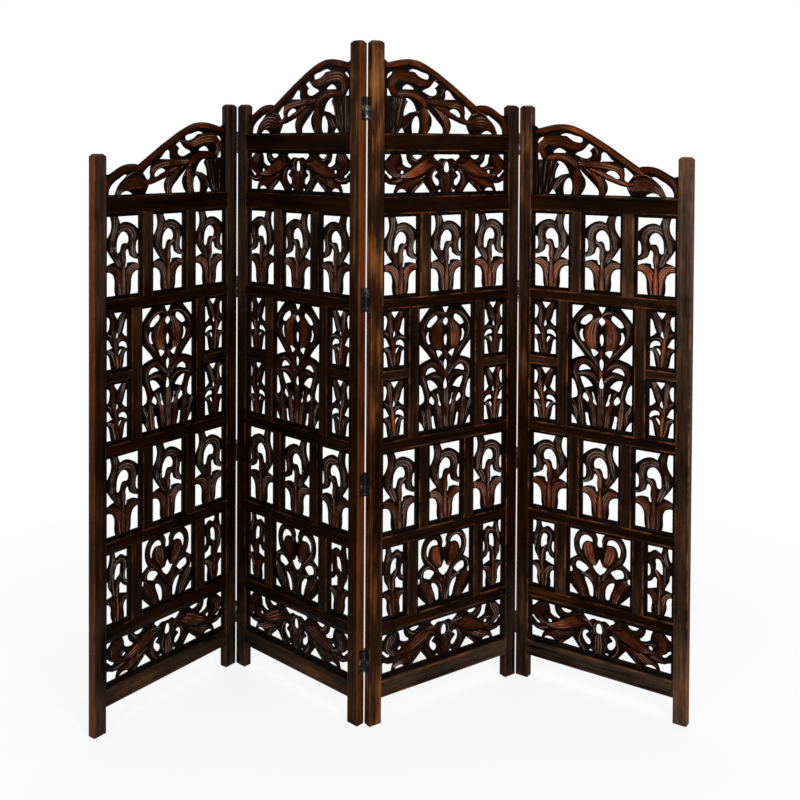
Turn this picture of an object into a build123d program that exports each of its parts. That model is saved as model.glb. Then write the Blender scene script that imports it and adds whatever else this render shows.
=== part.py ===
from build123d import *
import os
from math import cos, radians, sin, tan

# Carved jali screen: four folding panels of framed fretwork, hinged edge to edge.
# Millimetres and degrees. +Z is up and the feet stand on Z = 0.

# ---- driving dimensions ----------------------------------------------------------------

# panels
panel_width = 510.0            # over the two stiles of one panel
frame_thickness = 25.0
stile_width = 38.0
short_stile_height = 1527.0    # free end of an outer panel
middle_stile_height = 1673.0   # where an outer panel meets an inner one
tall_stile_height = 1832.0     # at the centre fold
stile_top_chamfer = 7.0
foot_gap = 68.0                # floor to the underside of the bottom rail

# rails, from the bottom up, and the windows that they leave between them
bottom_rail_height = 44.0
middle_rail_height = 28.0
top_rail_height = 46.0
bottom_frieze_window = 130.0
heart_window = 203.0
sprig_window = 228.0
flower_window = 356.0
top_frieze_window = 124.0

# upright bars inside the rows
mullion_width = 32.0
mullion_thickness = 22.0
side_column_width = 86.0       # beside the flower and beside the heart
crossbar_height = 24.0

# carved boards
crest_height = 203.0           # at the crown of its arch
crest_short_end = 61.0
board_thickness = 12.0
crest_thickness = 14.0
board_border = 9.0             # plain border round the carving
frieze_opening_height = 104.0

# joinery
groove_width = 8.0
groove_depth = 6.0
tenon_length = 14.0
joint_clearance = 0.2          # between a tongue or tenon and its groove or mortise

# hinges
leaf_height = 63.0
leaf_depth = 20.0              # how far a leaf reaches across the edge of a stile
leaf_thickness = 1.8
leaf_proud = 0.4               # how far a leaf stands out of the edge of its stile
knuckle_radius = 2.8
pin_radius = 1.4
pin_head_radius = 2.3
pin_head_height = 1.4
pin_clearance = 0.1
knuckle_gap = 0.4              # between neighbouring knuckles on one pin
axis_from_edge = 0.6           # pin centre, outwards from the edge of the stile
axis_from_face = 1.1           # pin centre, outwards from the face of the stile
side_hinge_heights = (155.0, 640.0, 1130.0, 1560.0)
centre_hinge_heights = (170.0, 645.0, 1140.0, 1650.0)

# screws
screw_radius = 1.6
screw_head_radius = 3.1
screw_head_angle = 90.0
screw_length = 16.0
screw_spacing = 22.0           # along the leaf
screw_zigzag = 4.0             # across the leaf, each side of its middle
screw_clearance = 0.1
screw_slot_width = 0.9
screw_slot_depth = 0.7

# how the screen stands: angle between the faces that fold together
left_fold_angle = 84.0
centre_fold_angle = 103.0
right_fold_angle = 112.0
right_inner_heading = 34.0     # turn of the right inner panel from straight across

# ---- values worked out from them --------------------------------------------------------

between_stiles = panel_width - 2 * stile_width
half_thickness = frame_thickness / 2
tongue = groove_depth - joint_clearance
tongue_thickness = groove_width - joint_clearance
sprig_column_width = (between_stiles - 2 * mullion_width) / 3
centre_column_width = between_stiles - 2 * side_column_width - 2 * mullion_width
side_window = (flower_window - crossbar_height) / 2
right_stile_edge = panel_width - stile_width

row_windows = [bottom_frieze_window, heart_window, sprig_window, flower_window,
               sprig_window, top_frieze_window]
rail_heights = [bottom_rail_height] + 4 * [middle_rail_height] + 2 * [top_rail_height]


def stack_rails():
    """Bottom of each rail and of each window, from the floor up."""
    rail_bottoms, window_bottoms = [], []
    level = foot_gap
    for rail, window in zip(rail_heights, row_windows + [0.0]):
        rail_bottoms.append(level)
        window_bottoms.append(level + rail)
        level += rail + window
    return rail_bottoms, window_bottoms


rail_bottoms, window_bottoms = stack_rails()
frieze_row, heart_row, lower_row, flower_row, upper_row, top_frieze_row = range(6)


class Panel:
    """Where one panel stands, and what is on it. Local X runs from its tall stile to its
    short one, local Y is up, and the panel's middle plane is at local Z = 0."""

    def __init__(self, name, rail_count, tall_height, short_height):
        self.name = name
        self.rails = list(zip(rail_bottoms, rail_heights))[:rail_count]
        self.tall_height = tall_height
        self.short_height = short_height
        self.crest_level = sum(self.rails[-1])

    def stand(self, tall_corner, along, front):
        """Set the panel down: tall_corner is on its middle plane, at its tall edge."""
        self.corner, self.along, self.front = tall_corner, along, front
        self.plane = Plane(origin=tall_corner, x_dir=along, z_dir=along.cross(Vector(0, 0, 1)))

    def layer(self, thickness):
        """Back of a layer of this thickness about the panel's middle plane."""
        return self.plane.offset(-thickness / 2)

    def hinge_axis(self, tall_side, at_front):
        """A fold's axis beside this panel, at the floor."""
        edge = -axis_from_edge if tall_side else panel_width + axis_from_edge
        out = half_thickness + axis_from_face
        return self.corner + self.along * edge + self.front * (out if at_front else -out)

    def hinge_plane(self, tall_side, at_front, height):
        """X points out of the stile's edge, Y out of the face with the knuckles."""
        edge = 0.0 if tall_side else panel_width
        outwards = self.along * (-1 if tall_side else 1)
        face = self.front * (1 if at_front else -1)
        origin = self.corner + self.along * edge + face * half_thickness
        return Plane(origin=origin + Vector(0, 0, height), x_dir=outwards,
                     z_dir=outwards.cross(face))


left_outer = Panel("left_outer", 6, middle_stile_height, short_stile_height)
left_inner = Panel("left_inner", 7, tall_stile_height, middle_stile_height)
right_inner = Panel("right_inner", 7, tall_stile_height, middle_stile_height)
right_outer = Panel("right_outer", 6, middle_stile_height, short_stile_height)
panels = [left_outer, left_inner, right_inner, right_outer]


def heading(angle):
    return Vector(cos(radians(angle)), sin(radians(angle)), 0)


def stand_screen(centre_axis):
    """Place the four panels round the centre fold's axis and return the three axes."""
    left_inner_heading = 180 - centre_fold_angle - right_inner_heading
    left_outer_heading = 180 - left_fold_angle - left_inner_heading
    right_outer_heading = 180 - right_fold_angle - right_inner_heading
    edge = axis_from_edge
    face = axis_from_face + half_thickness

    along = heading(right_inner_heading)
    front = heading(right_inner_heading - 90)
    right_inner.stand(centre_axis + along * edge + front * face, along, front)
    right_axis = right_inner.hinge_axis(tall_side=False, at_front=True)
    along = heading(-right_outer_heading)
    front = heading(-right_outer_heading - 90)
    right_outer.stand(right_axis + along * edge - front * face, along, front)

    along = heading(180 - left_inner_heading)
    front = heading(270 - left_inner_heading)
    left_inner.stand(centre_axis + along * edge + front * face, along, front)
    left_axis = left_inner.hinge_axis(tall_side=False, at_front=True)
    along = heading(180 + left_outer_heading)
    front = heading(270 + left_outer_heading)
    left_outer.stand(left_axis + along * edge - front * face, along, front)
    return left_axis, centre_axis, right_axis


def footprint_middle():
    """Middle of the rectangle that the stiles of all four panels stand in."""
    corners = [panel.corner + panel.along * u + panel.front * w
               for panel in panels
               for u in (0, panel_width) for w in (-half_thickness, half_thickness)]
    xs = [corner.X for corner in corners]
    ys = [corner.Y for corner in corners]
    return Vector((min(xs) + max(xs)) / 2, (min(ys) + max(ys)) / 2, 0)


stand_screen(Vector(0, 0, 0))
fold_axes = stand_screen(footprint_middle() * -1)

# ---- fretwork outlines --------------------------------------------------------------------
# Each opening is a list of runs, in millimetres from the lower left corner of the carving.
# A run is a smooth curve that starts where the run before it ends, runs meet in corners,
# and the last point joins the first by a straight line. A lone run that ends on its first
# point is one smooth closed curve.

sprig_size = (105.0, 208.0)
sprig_openings = [
    [[(0, 170), (16, 183.5), (38, 193), (61, 187.5)], [(65, 198), (69, 208)], [(0, 208)]],
    [[(105, 148), (97, 158), (90, 171), (88, 185), (89.5, 197), (93, 208)], [(105, 208)]],
    [[(51, 167.5), (40, 163), (33.5, 154), (32.5, 144), (36, 136.5), (47, 137), (57, 128),
      (64, 112), (69, 112), (73, 131), (71.5, 146), (64, 160), (51, 167.5)]],
    [[(0, 105), (5, 106.5), (9.5, 116), (9.5, 129), (5, 142.5), (0, 145)]],
    [[(0, 91.5), (9, 92), (20, 97), (29, 104), (33, 116), (37, 120.5), (41, 118),
      (43.5, 104), (43, 89)], [(44.5, 80), (46, 72)], [(43, 71.5), (37.5, 83)],
     [(25, 85), (12, 83.5), (0, 78)]],
    [[(105, 125), (101, 118), (94.5, 108), (79, 88)], [(92, 84.5), (105, 78.5)]],
    [[(0, 0)], [(30, 0)], [(26.5, 14), (26, 26), (25, 40), (18, 55), (8, 61), (0, 62)]],
    [[(105, 0)], [(75, 0)], [(78, 13), (78, 26), (77.5, 38), (84, 55), (95, 61.5),
      (105, 62.5)]],
]

narrow_size = (68.0, 185.0)
narrow_openings = [
    [[(0, 165), (7, 167), (13, 172), (21, 175), (29, 171.5), (37, 168)],
     [(40, 176), (42, 185)], [(0, 185)]],
    [[(68, 148), (63, 151), (59, 161), (56.5, 172), (57.5, 185)], [(68, 185)]],
    [[(21.5, 145), (25, 151.5), (32, 151.5), (38, 145), (41.5, 134), (42.5, 120),
      (40, 110.5), (36, 112), (29, 118), (24, 121), (23, 133), (21.5, 145)]],
    [[(0, 99.5), (6, 105), (8.5, 116), (7, 127), (3, 134), (0, 134)]],
    [[(0, 84.5), (7, 87), (14, 92), (21, 101), (25, 98), (26.5, 88), (28, 74)],
     [(14, 69), (0, 65)]],
    [[(68, 65), (60, 68), (48, 70)], [(54, 84), (61, 98), (64.5, 113), (68, 114)]],
    [[(0, 0)], [(13, 0)], [(12, 20), (13, 35), (8, 46), (0, 51)]],
    [[(68, 0)], [(47, 0)], [(52, 13), (53.5, 24), (52.5, 35), (57, 47), (68, 53)]],
]

side_size = (68.0, 147.0)
side_openings = [
    [[(17, 147)], [(26, 136), (32, 128)], [(38, 136), (44, 147)]],
    [[(0, 80), (11, 86), (18, 94)], [(13, 105), (9, 119), (3, 128), (0, 128)]],
    [[(68, 98), (62, 101), (57.5, 112), (56, 126), (61, 136), (68, 138)]],
    [[(68, 51), (58, 53), (48, 56)], [(56, 69), (62, 77), (68, 79)]],
    [[(0, 48), (1, 58), (8, 66.5), (18, 69.5), (27, 66), (28, 57)], [(15, 56), (6, 51)]],
    [[(20, 50), (25, 48), (30, 36), (28.5, 31), (24.5, 36), (20, 50)]],
    [[(31, 92), (34.5, 96), (37, 88), (37.5, 76), (35, 78), (31, 92)]],
    [[(0, 0)], [(18, 0)], [(14, 14), (11.5, 29), (7, 40), (0, 42)]],
    [[(68, 0)], [(52, 0)], [(55, 12), (57, 25), (61, 36), (68, 42)]],
]

flower_size = (178.0, 338.0)
flower_pairs = [                # left half; the right half is its mirror image
    [[(0, 298), (10, 310), (22, 324), (35, 338)], [(0, 338)]],
    [[(25, 289), (32, 301), (46, 312), (58, 315), (62, 308), (52, 294), (40, 285),
      (29, 285), (25, 289)]],
    [[(27, 271), (34, 271.5)], [(32.5, 257), (35, 246), (39, 238)], [(31, 238),
      (24, 248), (22, 260)]],
    [[(0, 181), (12, 188.5), (25, 193), (39, 197)], [(27, 212), (14, 226), (0, 241)]],
    [[(56, 217), (61, 217.5), (80, 209)], [(73, 202), (66, 196)], [(61, 203)]],
    [[(22, 152), (24, 162), (35, 171), (47, 169), (58, 159)], [(43, 158), (33, 155)]],
    [[(26, 136), (37, 136.5), (50, 130), (58, 122), (64, 114)], [(52, 110), (38, 105)],
     [(31, 119)]],
    [[(0, 71), (9, 74), (16.5, 79), (18.5, 89), (15, 105), (9, 121), (0, 129)]],
    [[(34, 77), (36, 87), (41, 91.5), (47, 86), (52.5, 72), (49, 66.5), (42, 70), (34, 77)]],
    [[(0, 0)], [(18, 0)], [(11, 15), (0, 27)]],
    [[(46, 0)], [(58, 0)], [(55, 12), (52, 25), (48, 36), (44, 36), (42, 25), (43, 12)]],
    [[(60, 97), (63, 96), (71, 76), (75, 60), (72, 61), (66, 76)]],
]
flower_middle = [               # about the centre line
    [[(-11, 338), (-6, 327), (0, 319)], [(6, 327), (11, 338)]],
    [[(0, 309.5)], [(-7, 303), (-10, 297), (-6, 290), (0, 284)],
     [(6, 290), (10, 297), (7, 303)]],
    [[(0, 261), (-5, 256), (-6.2, 246), (-4.5, 235), (0, 228), (4.5, 235), (6.2, 246),
      (5, 256), (0, 261)]],
    [[(0, 193), (-5.5, 186), (-6, 173), (0, 157)], [(6, 173), (5.5, 186)]],
    [[(0, 140.5), (-4, 132), (-7, 117), (-4.5, 109), (4.5, 109), (7, 117), (4, 132), (0, 140.5)]],
]

heart_size = (178.0, 185.0)
heart_pairs = [
    [[(0, 96), (8, 102), (22, 112)], [(14, 129), (11.5, 147), (15, 166), (28, 185)],
     [(0, 185)]],
    [[(34, 127), (28, 144), (33, 164), (49, 175), (63, 170), (68, 157)],
     [(58, 158), (47, 156.5), (39, 147), (36, 134)]],
    [[(19, 77), (18, 86), (24, 95), (35, 95.5), (47, 90), (56, 81), (49, 73), (42, 67),
      (30, 71), (19, 77)]],
    [[(0, 60), (5, 61), (8, 68), (5, 75), (0, 76)]],
    [[(0, 0)], [(28, 0)], [(13, 15), (0, 29)]],
    [[(49, 55), (61, 48), (70, 33), (71.5, 17), (68, 3), (63, 3), (58, 12), (53, 28), (49, 55)]],
]
heart_middle = [
    [[(-14.5, 185), (-8.5, 175), (-6.5, 165), (-8, 156), (-5.5, 149), (0, 147), (5.5, 149),
      (8, 156), (6.5, 165), (8.5, 175), (14.5, 185)]],
    [[(0, 114.5), (-6, 102), (-10, 94)], [(-21, 91.5)], [(-15.5, 81), (-8, 73), (0, 68)],
     [(8, 73), (15.5, 81), (21, 91.5)], [(10, 94)], [(6, 102)]],
]

frieze_size = (414.0, 104.0)
frieze_pairs = [
    [[(0, 88), (4, 89), (12, 96), (21, 104)], [(0, 104)]],
    [[(51, 104)], [(56, 92), (57.5, 79)], [(65, 73), (77, 69), (87, 70), (88, 74)],
     [(78, 82), (72.5, 93), (71.5, 104)]],
    [[(90, 101.5), (107, 103), (124, 101.5)], [(117, 94), (107, 91), (97, 94)]],
    [[(0, 54), (9, 47), (21, 39.5), (25, 42), (13, 51.5), (5, 60), (0, 61)]],
    [[(52.5, 52), (53.5, 59.5), (59, 60.5), (63, 56), (58, 50.5), (52.5, 52)]],
    [[(0, 0)], [(30, 0)], [(33, 10), (39, 21)], [(27, 21.5), (14, 24), (5, 28.5), (0, 29)]],
    [[(39, 1), (45, 7.5), (55, 10), (65, 8), (72, 2)]],
    [[(97, 0), (106, 9), (118, 19), (127, 28)], [(137, 17), (150, 0)]],
    [[(175, 57), (165, 57), (158.5, 48), (158, 36), (165, 24), (175, 17.5), (181, 21),
      (178, 35), (168, 46), (175, 57)]],
    [[(177, 1), (180, 5.5), (184.5, 6.5), (188, 1)]],
]
frieze_middle = [
    [[(-46, 99), (-42, 104)], [(42, 104)], [(46, 99), (38, 91), (31.5, 85.5)],
     [(26, 89.5), (19, 93.5), (12, 93.5), (6, 92), (0, 92.5), (-6, 92), (-12, 93.5),
      (-19, 93.5), (-26, 89.5), (-31.5, 85.5)], [(-38, 91)]],
    [[(0, 84.5), (-5.5, 81), (-9, 71), (-9, 61), (-6, 56), (0, 55), (6, 56), (9, 61),
      (9, 71), (5.5, 81), (0, 84.5)]],
]

crest_size = (432.0, 203.0)
crest_top = [                  # from the foot of the tall end to the foot of the short end
    [(0, 0)], [(0, 203)], [(8, 198), (17, 191)],
    [(32, 194.5), (60, 200.5), (88, 203), (115, 200), (145, 189.5), (182, 171)],
    [(236, 138)], [(319, 82)],
    [(335, 85), (352, 84.5), (380, 76.5), (404, 63), (416, 57)], [(424, 57.5), (432, 61)],
    [(432, 0)],
]
crest_openings = [
    [[(87, 172), (100, 176), (116, 174), (134, 168.5), (154, 158), (152, 152.5),
      (139, 150.5), (126, 154), (112, 162.5), (99, 169.5), (87, 172)]],
    [[(15, 148), (16, 157), (24, 164), (33, 167)], [(30, 160), (22, 153), (17, 147)]],
    [[(15, 102)], [(32, 102)], [(25, 111.5), (19, 120.5), (15, 121)]],
    [[(63, 121), (69, 129), (78, 133.5), (90, 132), (104, 123)], [(100, 121)]],
    [[(131, 117), (137, 121.5), (149, 126), (160, 133.5), (168, 143), (174, 147)],
     [(188, 138)], [(174, 126)], [(181, 120), (180.5, 112.5), (174, 107.5), (163, 105.5),
      (151, 108)]],
    [[(205, 97), (209, 105), (211.5, 121), (216, 122.5), (232, 112), (249, 98)]],
    [[(75, 96), (84, 96.5), (96, 90.5), (106, 79), (112.5, 63)], [(104, 61), (92, 58.5),
      (80, 52.5), (69, 48)], [(69, 58), (73, 72), (82, 87)]],
    [[(97, 3)], [(95.5, 20), (98, 34), (105, 45), (112, 49), (118, 46), (122, 36),
      (123, 20), (119, 3)]],
    [[(51, 3)], [(57, 10), (63.5, 17)], [(69, 11), (72.5, 3)]],
    [[(149, 3), (158, 16), (163, 32), (161.5, 46)], [(151, 63), (139, 81)],
     [(154, 66), (175, 46), (190, 31), (201, 18), (203, 3)]],
    [[(225, 66), (233, 70.5), (243, 71), (253, 67.5), (261, 60), (264, 51), (258, 49),
      (245, 54), (233, 60), (225, 66)]],
    [[(276, 79), (281, 80)], [(293, 70), (304, 59.5)], [(296, 49), (289, 40.5)],
     [(280, 44), (278.5, 60)]],
    [[(222, 3), (227.5, 14), (229, 26), (226, 37), (219, 47)], [(240, 40), (262, 32),
      (285, 26.5)], [(289, 16), (296, 3)]],
    [[(338, 3), (346, 8.5), (356, 11.5), (367, 10.5), (379, 3)]],
    [[(355, 54), (362, 56), (380, 48), (396, 38.5), (409, 27), (416, 15), (417, 3)],
     [(396, 3)], [(391, 14), (383, 28), (371, 40.5)]],
]


def mirrored(runs, width):
    """The same opening, seen in a mirror across a board of this width."""
    return [[(width - x, y) for x, y in run] for run in runs]


def moved(runs, right):
    return [[(x + right, y) for x, y in run] for run in runs]


def symmetrical(pairs, middle, width):
    """Every opening of a board whose right half mirrors its left half."""
    whole = list(pairs)
    whole += [mirrored(runs, width) for runs in pairs]
    whole += [moved(runs, width / 2) for runs in middle]
    return whole


def draw_outline(runs):
    """Draw one closed outline into the line builder that is open."""
    start = last = runs[0][0]
    if len(runs) == 1 and runs[0][-1] == start:
        Spline(*runs[0][:-1], periodic=True)
        return
    for number, run in enumerate(runs):
        points = run if number == 0 else [last, *run]
        if len(points) > 2:
            Spline(*points)
        elif len(points) == 2:
            Line(*points)
        last = run[-1]
    if last != start:
        Line(last, start)


def fitted(runs, drawn_size, size):
    """An outline stretched from the size that it was drawn at to the size that it fills."""
    across, up = size[0] / drawn_size[0], size[1] / drawn_size[1]
    return [[(x * across, y * up) for x, y in run] for run in runs]


def fill_outlines(outlines):
    """One sketch with a face for each outline."""
    with BuildSketch() as faces:
        for runs in outlines:
            with BuildLine():
                draw_outline(runs)
            make_face()
    return faces.sketch


def make_board(window, carving, drawn_size, openings, flipped=False):
    """A pierced board with a tongue all round, about the origin in the XY plane."""
    openings = [fitted(runs, drawn_size, carving) for runs in openings]
    if flipped:
        openings = [mirrored(runs, carving[0]) for runs in openings]
    with BuildPart() as board:
        with BuildSketch(Plane.XY.offset(-board_thickness / 2)):
            Rectangle(*window)
            with Locations((-carving[0] / 2, -carving[1] / 2)):
                add(fill_outlines(openings), mode=Mode.SUBTRACT)
        extrude(amount=board_thickness)
        with BuildSketch(Plane.XY.offset(-tongue_thickness / 2)):
            Rectangle(window[0] + 2 * tongue, window[1] + 2 * tongue)
            Rectangle(*carving, mode=Mode.SUBTRACT)
        extrude(amount=tongue_thickness)
    return board.part


def make_crest():
    """The arched board of a panel's top, from the foot of its tall end."""
    across = (between_stiles, crest_height)
    with BuildPart() as crest:
        with BuildSketch(Plane.XY.offset(-crest_thickness / 2)):
            add(fill_outlines([fitted(crest_top, crest_size, across)]))
            add(fill_outlines([fitted(runs, crest_size, across) for runs in crest_openings]),
                mode=Mode.SUBTRACT)
        extrude(amount=crest_thickness)
        with BuildSketch(Plane.XY.offset(-tongue_thickness / 2)):
            with Locations((between_stiles / 2, -tongue / 2)):
                Rectangle(between_stiles + 2 * tongue, tongue)
            with Locations((-tongue / 2, crest_height / 2)):
                Rectangle(tongue, crest_height)
            with Locations((between_stiles + tongue / 2, crest_short_end / 2)):
                Rectangle(tongue, crest_short_end)
        extrude(amount=tongue_thickness)
    return crest.part


def within(window, border=board_border):
    return (window[0] - 2 * border, window[1] - 2 * border)


sprig_space = (sprig_column_width, sprig_window)
side_space = (side_column_width, side_window)
narrow_space = (side_column_width, heart_window)
flower_space = (centre_column_width, flower_window)
heart_space = (centre_column_width, heart_window)
bottom_frieze_space = (between_stiles, bottom_frieze_window)
top_frieze_space = (between_stiles, top_frieze_window)
frieze_carving = (between_stiles - 2 * board_border, frieze_opening_height)

flower_openings = symmetrical(flower_pairs, flower_middle, flower_size[0])
heart_openings = symmetrical(heart_pairs, heart_middle, heart_size[0])
frieze_openings = symmetrical(frieze_pairs, frieze_middle, frieze_size[0])

sprig = make_board(sprig_space, within(sprig_space), sprig_size, sprig_openings)
sprig_flipped = make_board(sprig_space, within(sprig_space), sprig_size, sprig_openings,
                           True)
side_sprig = make_board(side_space, within(side_space), side_size, side_openings)
side_sprig_flipped = make_board(side_space, within(side_space), side_size, side_openings,
                                True)
narrow_sprig = make_board(narrow_space, within(narrow_space), narrow_size, narrow_openings)
narrow_sprig_flipped = make_board(narrow_space, within(narrow_space), narrow_size,
                                  narrow_openings, True)
flower = make_board(flower_space, within(flower_space), flower_size, flower_openings)
heart = make_board(heart_space, within(heart_space), heart_size, heart_openings)
bottom_frieze = make_board(bottom_frieze_space, frieze_carving, frieze_size, frieze_openings)
top_frieze = make_board(top_frieze_space, frieze_carving, frieze_size, frieze_openings)
crest = make_crest()

# ---- where the rows and columns of a panel lie ----------------------------------------------

sprig_pitch = sprig_column_width + mullion_width
sprig_columns = [stile_width + sprig_column_width / 2 + i * sprig_pitch for i in range(3)]
side_columns = [stile_width + side_column_width / 2,
                right_stile_edge - side_column_width / 2]
panel_middle = panel_width / 2
row_middles = [bottom + window / 2 for bottom, window in zip(window_bottoms, row_windows)]
beside_centre = (centre_column_width + mullion_width) / 2   # mullion, from a panel's middle
between_sprigs = sprig_pitch / 2
side_levels = [window_bottoms[flower_row] + side_window / 2,
               window_bottoms[flower_row] + flower_window - side_window / 2]


def save(part, name):
    part.label = name
    export_step(part, f"parts/{name}.step")


# ---- frame members ----------------------------------------------------------------------------

def make_stile(panel, tall_side, folds):
    """A post. folds lists (whether the knuckles are at the front, hinge heights)."""
    height = panel.tall_height if tall_side else panel.short_height
    outer_edge = 0.0 if tall_side else panel_width
    inner_edge = stile_width if tall_side else right_stile_edge
    crest_end = crest_height if tall_side else crest_short_end
    groove_top = panel.crest_level + crest_end + joint_clearance
    with BuildPart() as stile:
        with BuildSketch(panel.layer(frame_thickness)):
            with Locations(((outer_edge + inner_edge) / 2, height / 2)):
                Rectangle(stile_width, height)
        extrude(amount=frame_thickness)
        top = stile.faces().sort_by(Axis.Z)[-1]
        chamfer(top.edges(), stile_top_chamfer)
        with BuildSketch(panel.layer(groove_width)):
            with Locations((inner_edge, (foot_gap + groove_top) / 2)):
                Rectangle(2 * groove_depth, groove_top - foot_gap)
            for bottom, rail in panel.rails:
                with Locations((inner_edge, bottom + rail / 2)):
                    Rectangle(2 * (tenon_length + joint_clearance), rail)
        extrude(amount=groove_width, mode=Mode.SUBTRACT)
        for at_front, hinge_heights in folds:
            for level in hinge_heights:
                cut_hinge_seat(panel.hinge_plane(tall_side, at_front, level))
    return stile.part


def cut_hinge_seat(place):
    """Mortise for one leaf in the edge of the open stile, with its screw holes, and a hollow
    along the corner for the knuckles and the pin's head."""
    with BuildSketch(place) as seat:
        with Locations((0, -leaf_depth / 2)):
            Rectangle(2 * (leaf_thickness - leaf_proud), leaf_depth + 2 * joint_clearance)
    extrude(seat.sketch, amount=leaf_height / 2 + joint_clearance, both=True,
            mode=Mode.SUBTRACT)
    with BuildSketch(place) as hollow:
        with Locations((axis_from_edge, axis_from_face)):
            Circle(knuckle_radius + joint_clearance)
    extrude(hollow.sketch, amount=leaf_height / 2 + pin_head_height + joint_clearance,
            both=True, mode=Mode.SUBTRACT)
    for screw_place in screw_places(place):
        with Locations(screw_place):
            Cylinder(screw_radius + screw_clearance, 2 * (screw_length + screw_clearance),
                     mode=Mode.SUBTRACT)


def screw_places(place):
    """Planes on the outer face of a leaf, pointing out of it, one for each screw."""
    middle = -leaf_depth / 2
    spots = [(leaf_proud, middle + screw_zigzag, -screw_spacing),
             (leaf_proud, middle - screw_zigzag, 0),
             (leaf_proud, middle + screw_zigzag, screw_spacing)]
    return [Plane(origin=place.from_local_coords(spot), x_dir=place.z_dir, z_dir=place.x_dir)
            for spot in spots]


def make_rails(panel):
    """Rails with tenons at their ends and grooves for the boards."""
    with BuildPart() as rails:
        with BuildSketch(panel.layer(frame_thickness)):
            for bottom, height in panel.rails:
                with Locations((panel_middle, bottom + height / 2)):
                    Rectangle(between_stiles, height)
        extrude(amount=frame_thickness)
        with BuildSketch(panel.layer(tongue_thickness)):
            for bottom, height in panel.rails:
                with Locations((panel_middle, bottom + height / 2)):
                    Rectangle(between_stiles + 2 * tenon_length, height)
        extrude(amount=tongue_thickness)
        edges = [edge for bottom, height in panel.rails for edge in (bottom, bottom + height)]
        with BuildSketch(panel.layer(groove_width)):
            for edge in edges[1:]:
                with Locations((panel_middle, edge)):
                    Rectangle(between_stiles + 2 * groove_depth, 2 * groove_depth)
        extrude(amount=groove_width, mode=Mode.SUBTRACT)
    return rails.part


def make_bar(length, width):
    """An upright bar about the origin, grooved along its sides and tongued at its ends."""
    with BuildPart() as bar:
        with BuildSketch(Plane.XY.offset(-mullion_thickness / 2)):
            Rectangle(width, length)
        extrude(amount=mullion_thickness)
        with BuildSketch(Plane.XY.offset(-tongue_thickness / 2)):
            Rectangle(width - 2 * groove_depth, length + 2 * tongue)
        extrude(amount=tongue_thickness)
        with BuildSketch(Plane.XY.offset(-groove_width / 2)):
            with Locations((-width / 2, 0), (width / 2, 0)):
                Rectangle(2 * groove_depth, length)
        extrude(amount=groove_width, mode=Mode.SUBTRACT)
    return bar.part


heart_mullion = make_bar(heart_window, mullion_width)
sprig_mullion = make_bar(sprig_window, mullion_width)
flower_mullion = make_bar(flower_window, mullion_width)
crossbar = make_bar(side_column_width - 2 * joint_clearance, crossbar_height).rotate(Axis.Z, 90)
mullion_rows = [(heart_mullion, heart_row, beside_centre),
                (sprig_mullion, lower_row, between_sprigs),
                (flower_mullion, flower_row, beside_centre),
                (sprig_mullion, upper_row, between_sprigs)]


# ---- panels ---------------------------------------------------------------------------------------

def place(panel, pieces):
    """One node of a panel. pieces lists (piece, column, level) in the panel's plane."""
    with BuildPart() as node:
        for piece, column, level in pieces:
            with Locations(panel.plane * Location((column, level, 0))):
                add(piece)
    return node.part


def make_panel(panel, tall_folds, short_folds, inner):
    save(make_stile(panel, True, tall_folds), f"{panel.name}_tall_stile")
    save(make_stile(panel, False, short_folds), f"{panel.name}_short_stile")
    save(make_rails(panel), f"{panel.name}_rails")
    sprig_board = sprig_flipped if inner else sprig
    near, far = side_columns
    nodes = {
        "mullions": [(bar, panel_middle + side * from_middle, row_middles[row])
                     for bar, row, from_middle in mullion_rows for side in (-1, 1)]
                    + [(crossbar, column, row_middles[flower_row]) for column in side_columns],
        "bottom_frieze": [(bottom_frieze, panel_middle, row_middles[frieze_row])],
        "heart": [(heart, panel_middle, row_middles[heart_row])],
        "narrow_sprigs": [(narrow_sprig_flipped, near, row_middles[heart_row]),
                          (narrow_sprig, far, row_middles[heart_row])],
        "lower_sprigs": [(sprig_board, column, row_middles[lower_row])
                         for column in sprig_columns],
        "flower": [(flower, panel_middle, row_middles[flower_row])],
        "side_sprigs": [placed for level in side_levels
                        for placed in ((side_sprig_flipped, near, level),
                                       (side_sprig, far, level))],
        "upper_sprigs": [(sprig_board, column, row_middles[upper_row])
                         for column in sprig_columns],
        "crest": [(crest, stile_width, panel.crest_level)],
    }
    if inner:
        nodes["top_frieze"] = [(top_frieze, panel_middle, row_middles[top_frieze_row])]
    for name, pieces in nodes.items():
        save(place(panel, pieces), f"{panel.name}_{name}")


# ---- hinges -------------------------------------------------------------------------------------

knuckle_pitch = leaf_height / 5
pin_hole_radius = pin_radius + pin_clearance


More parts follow.
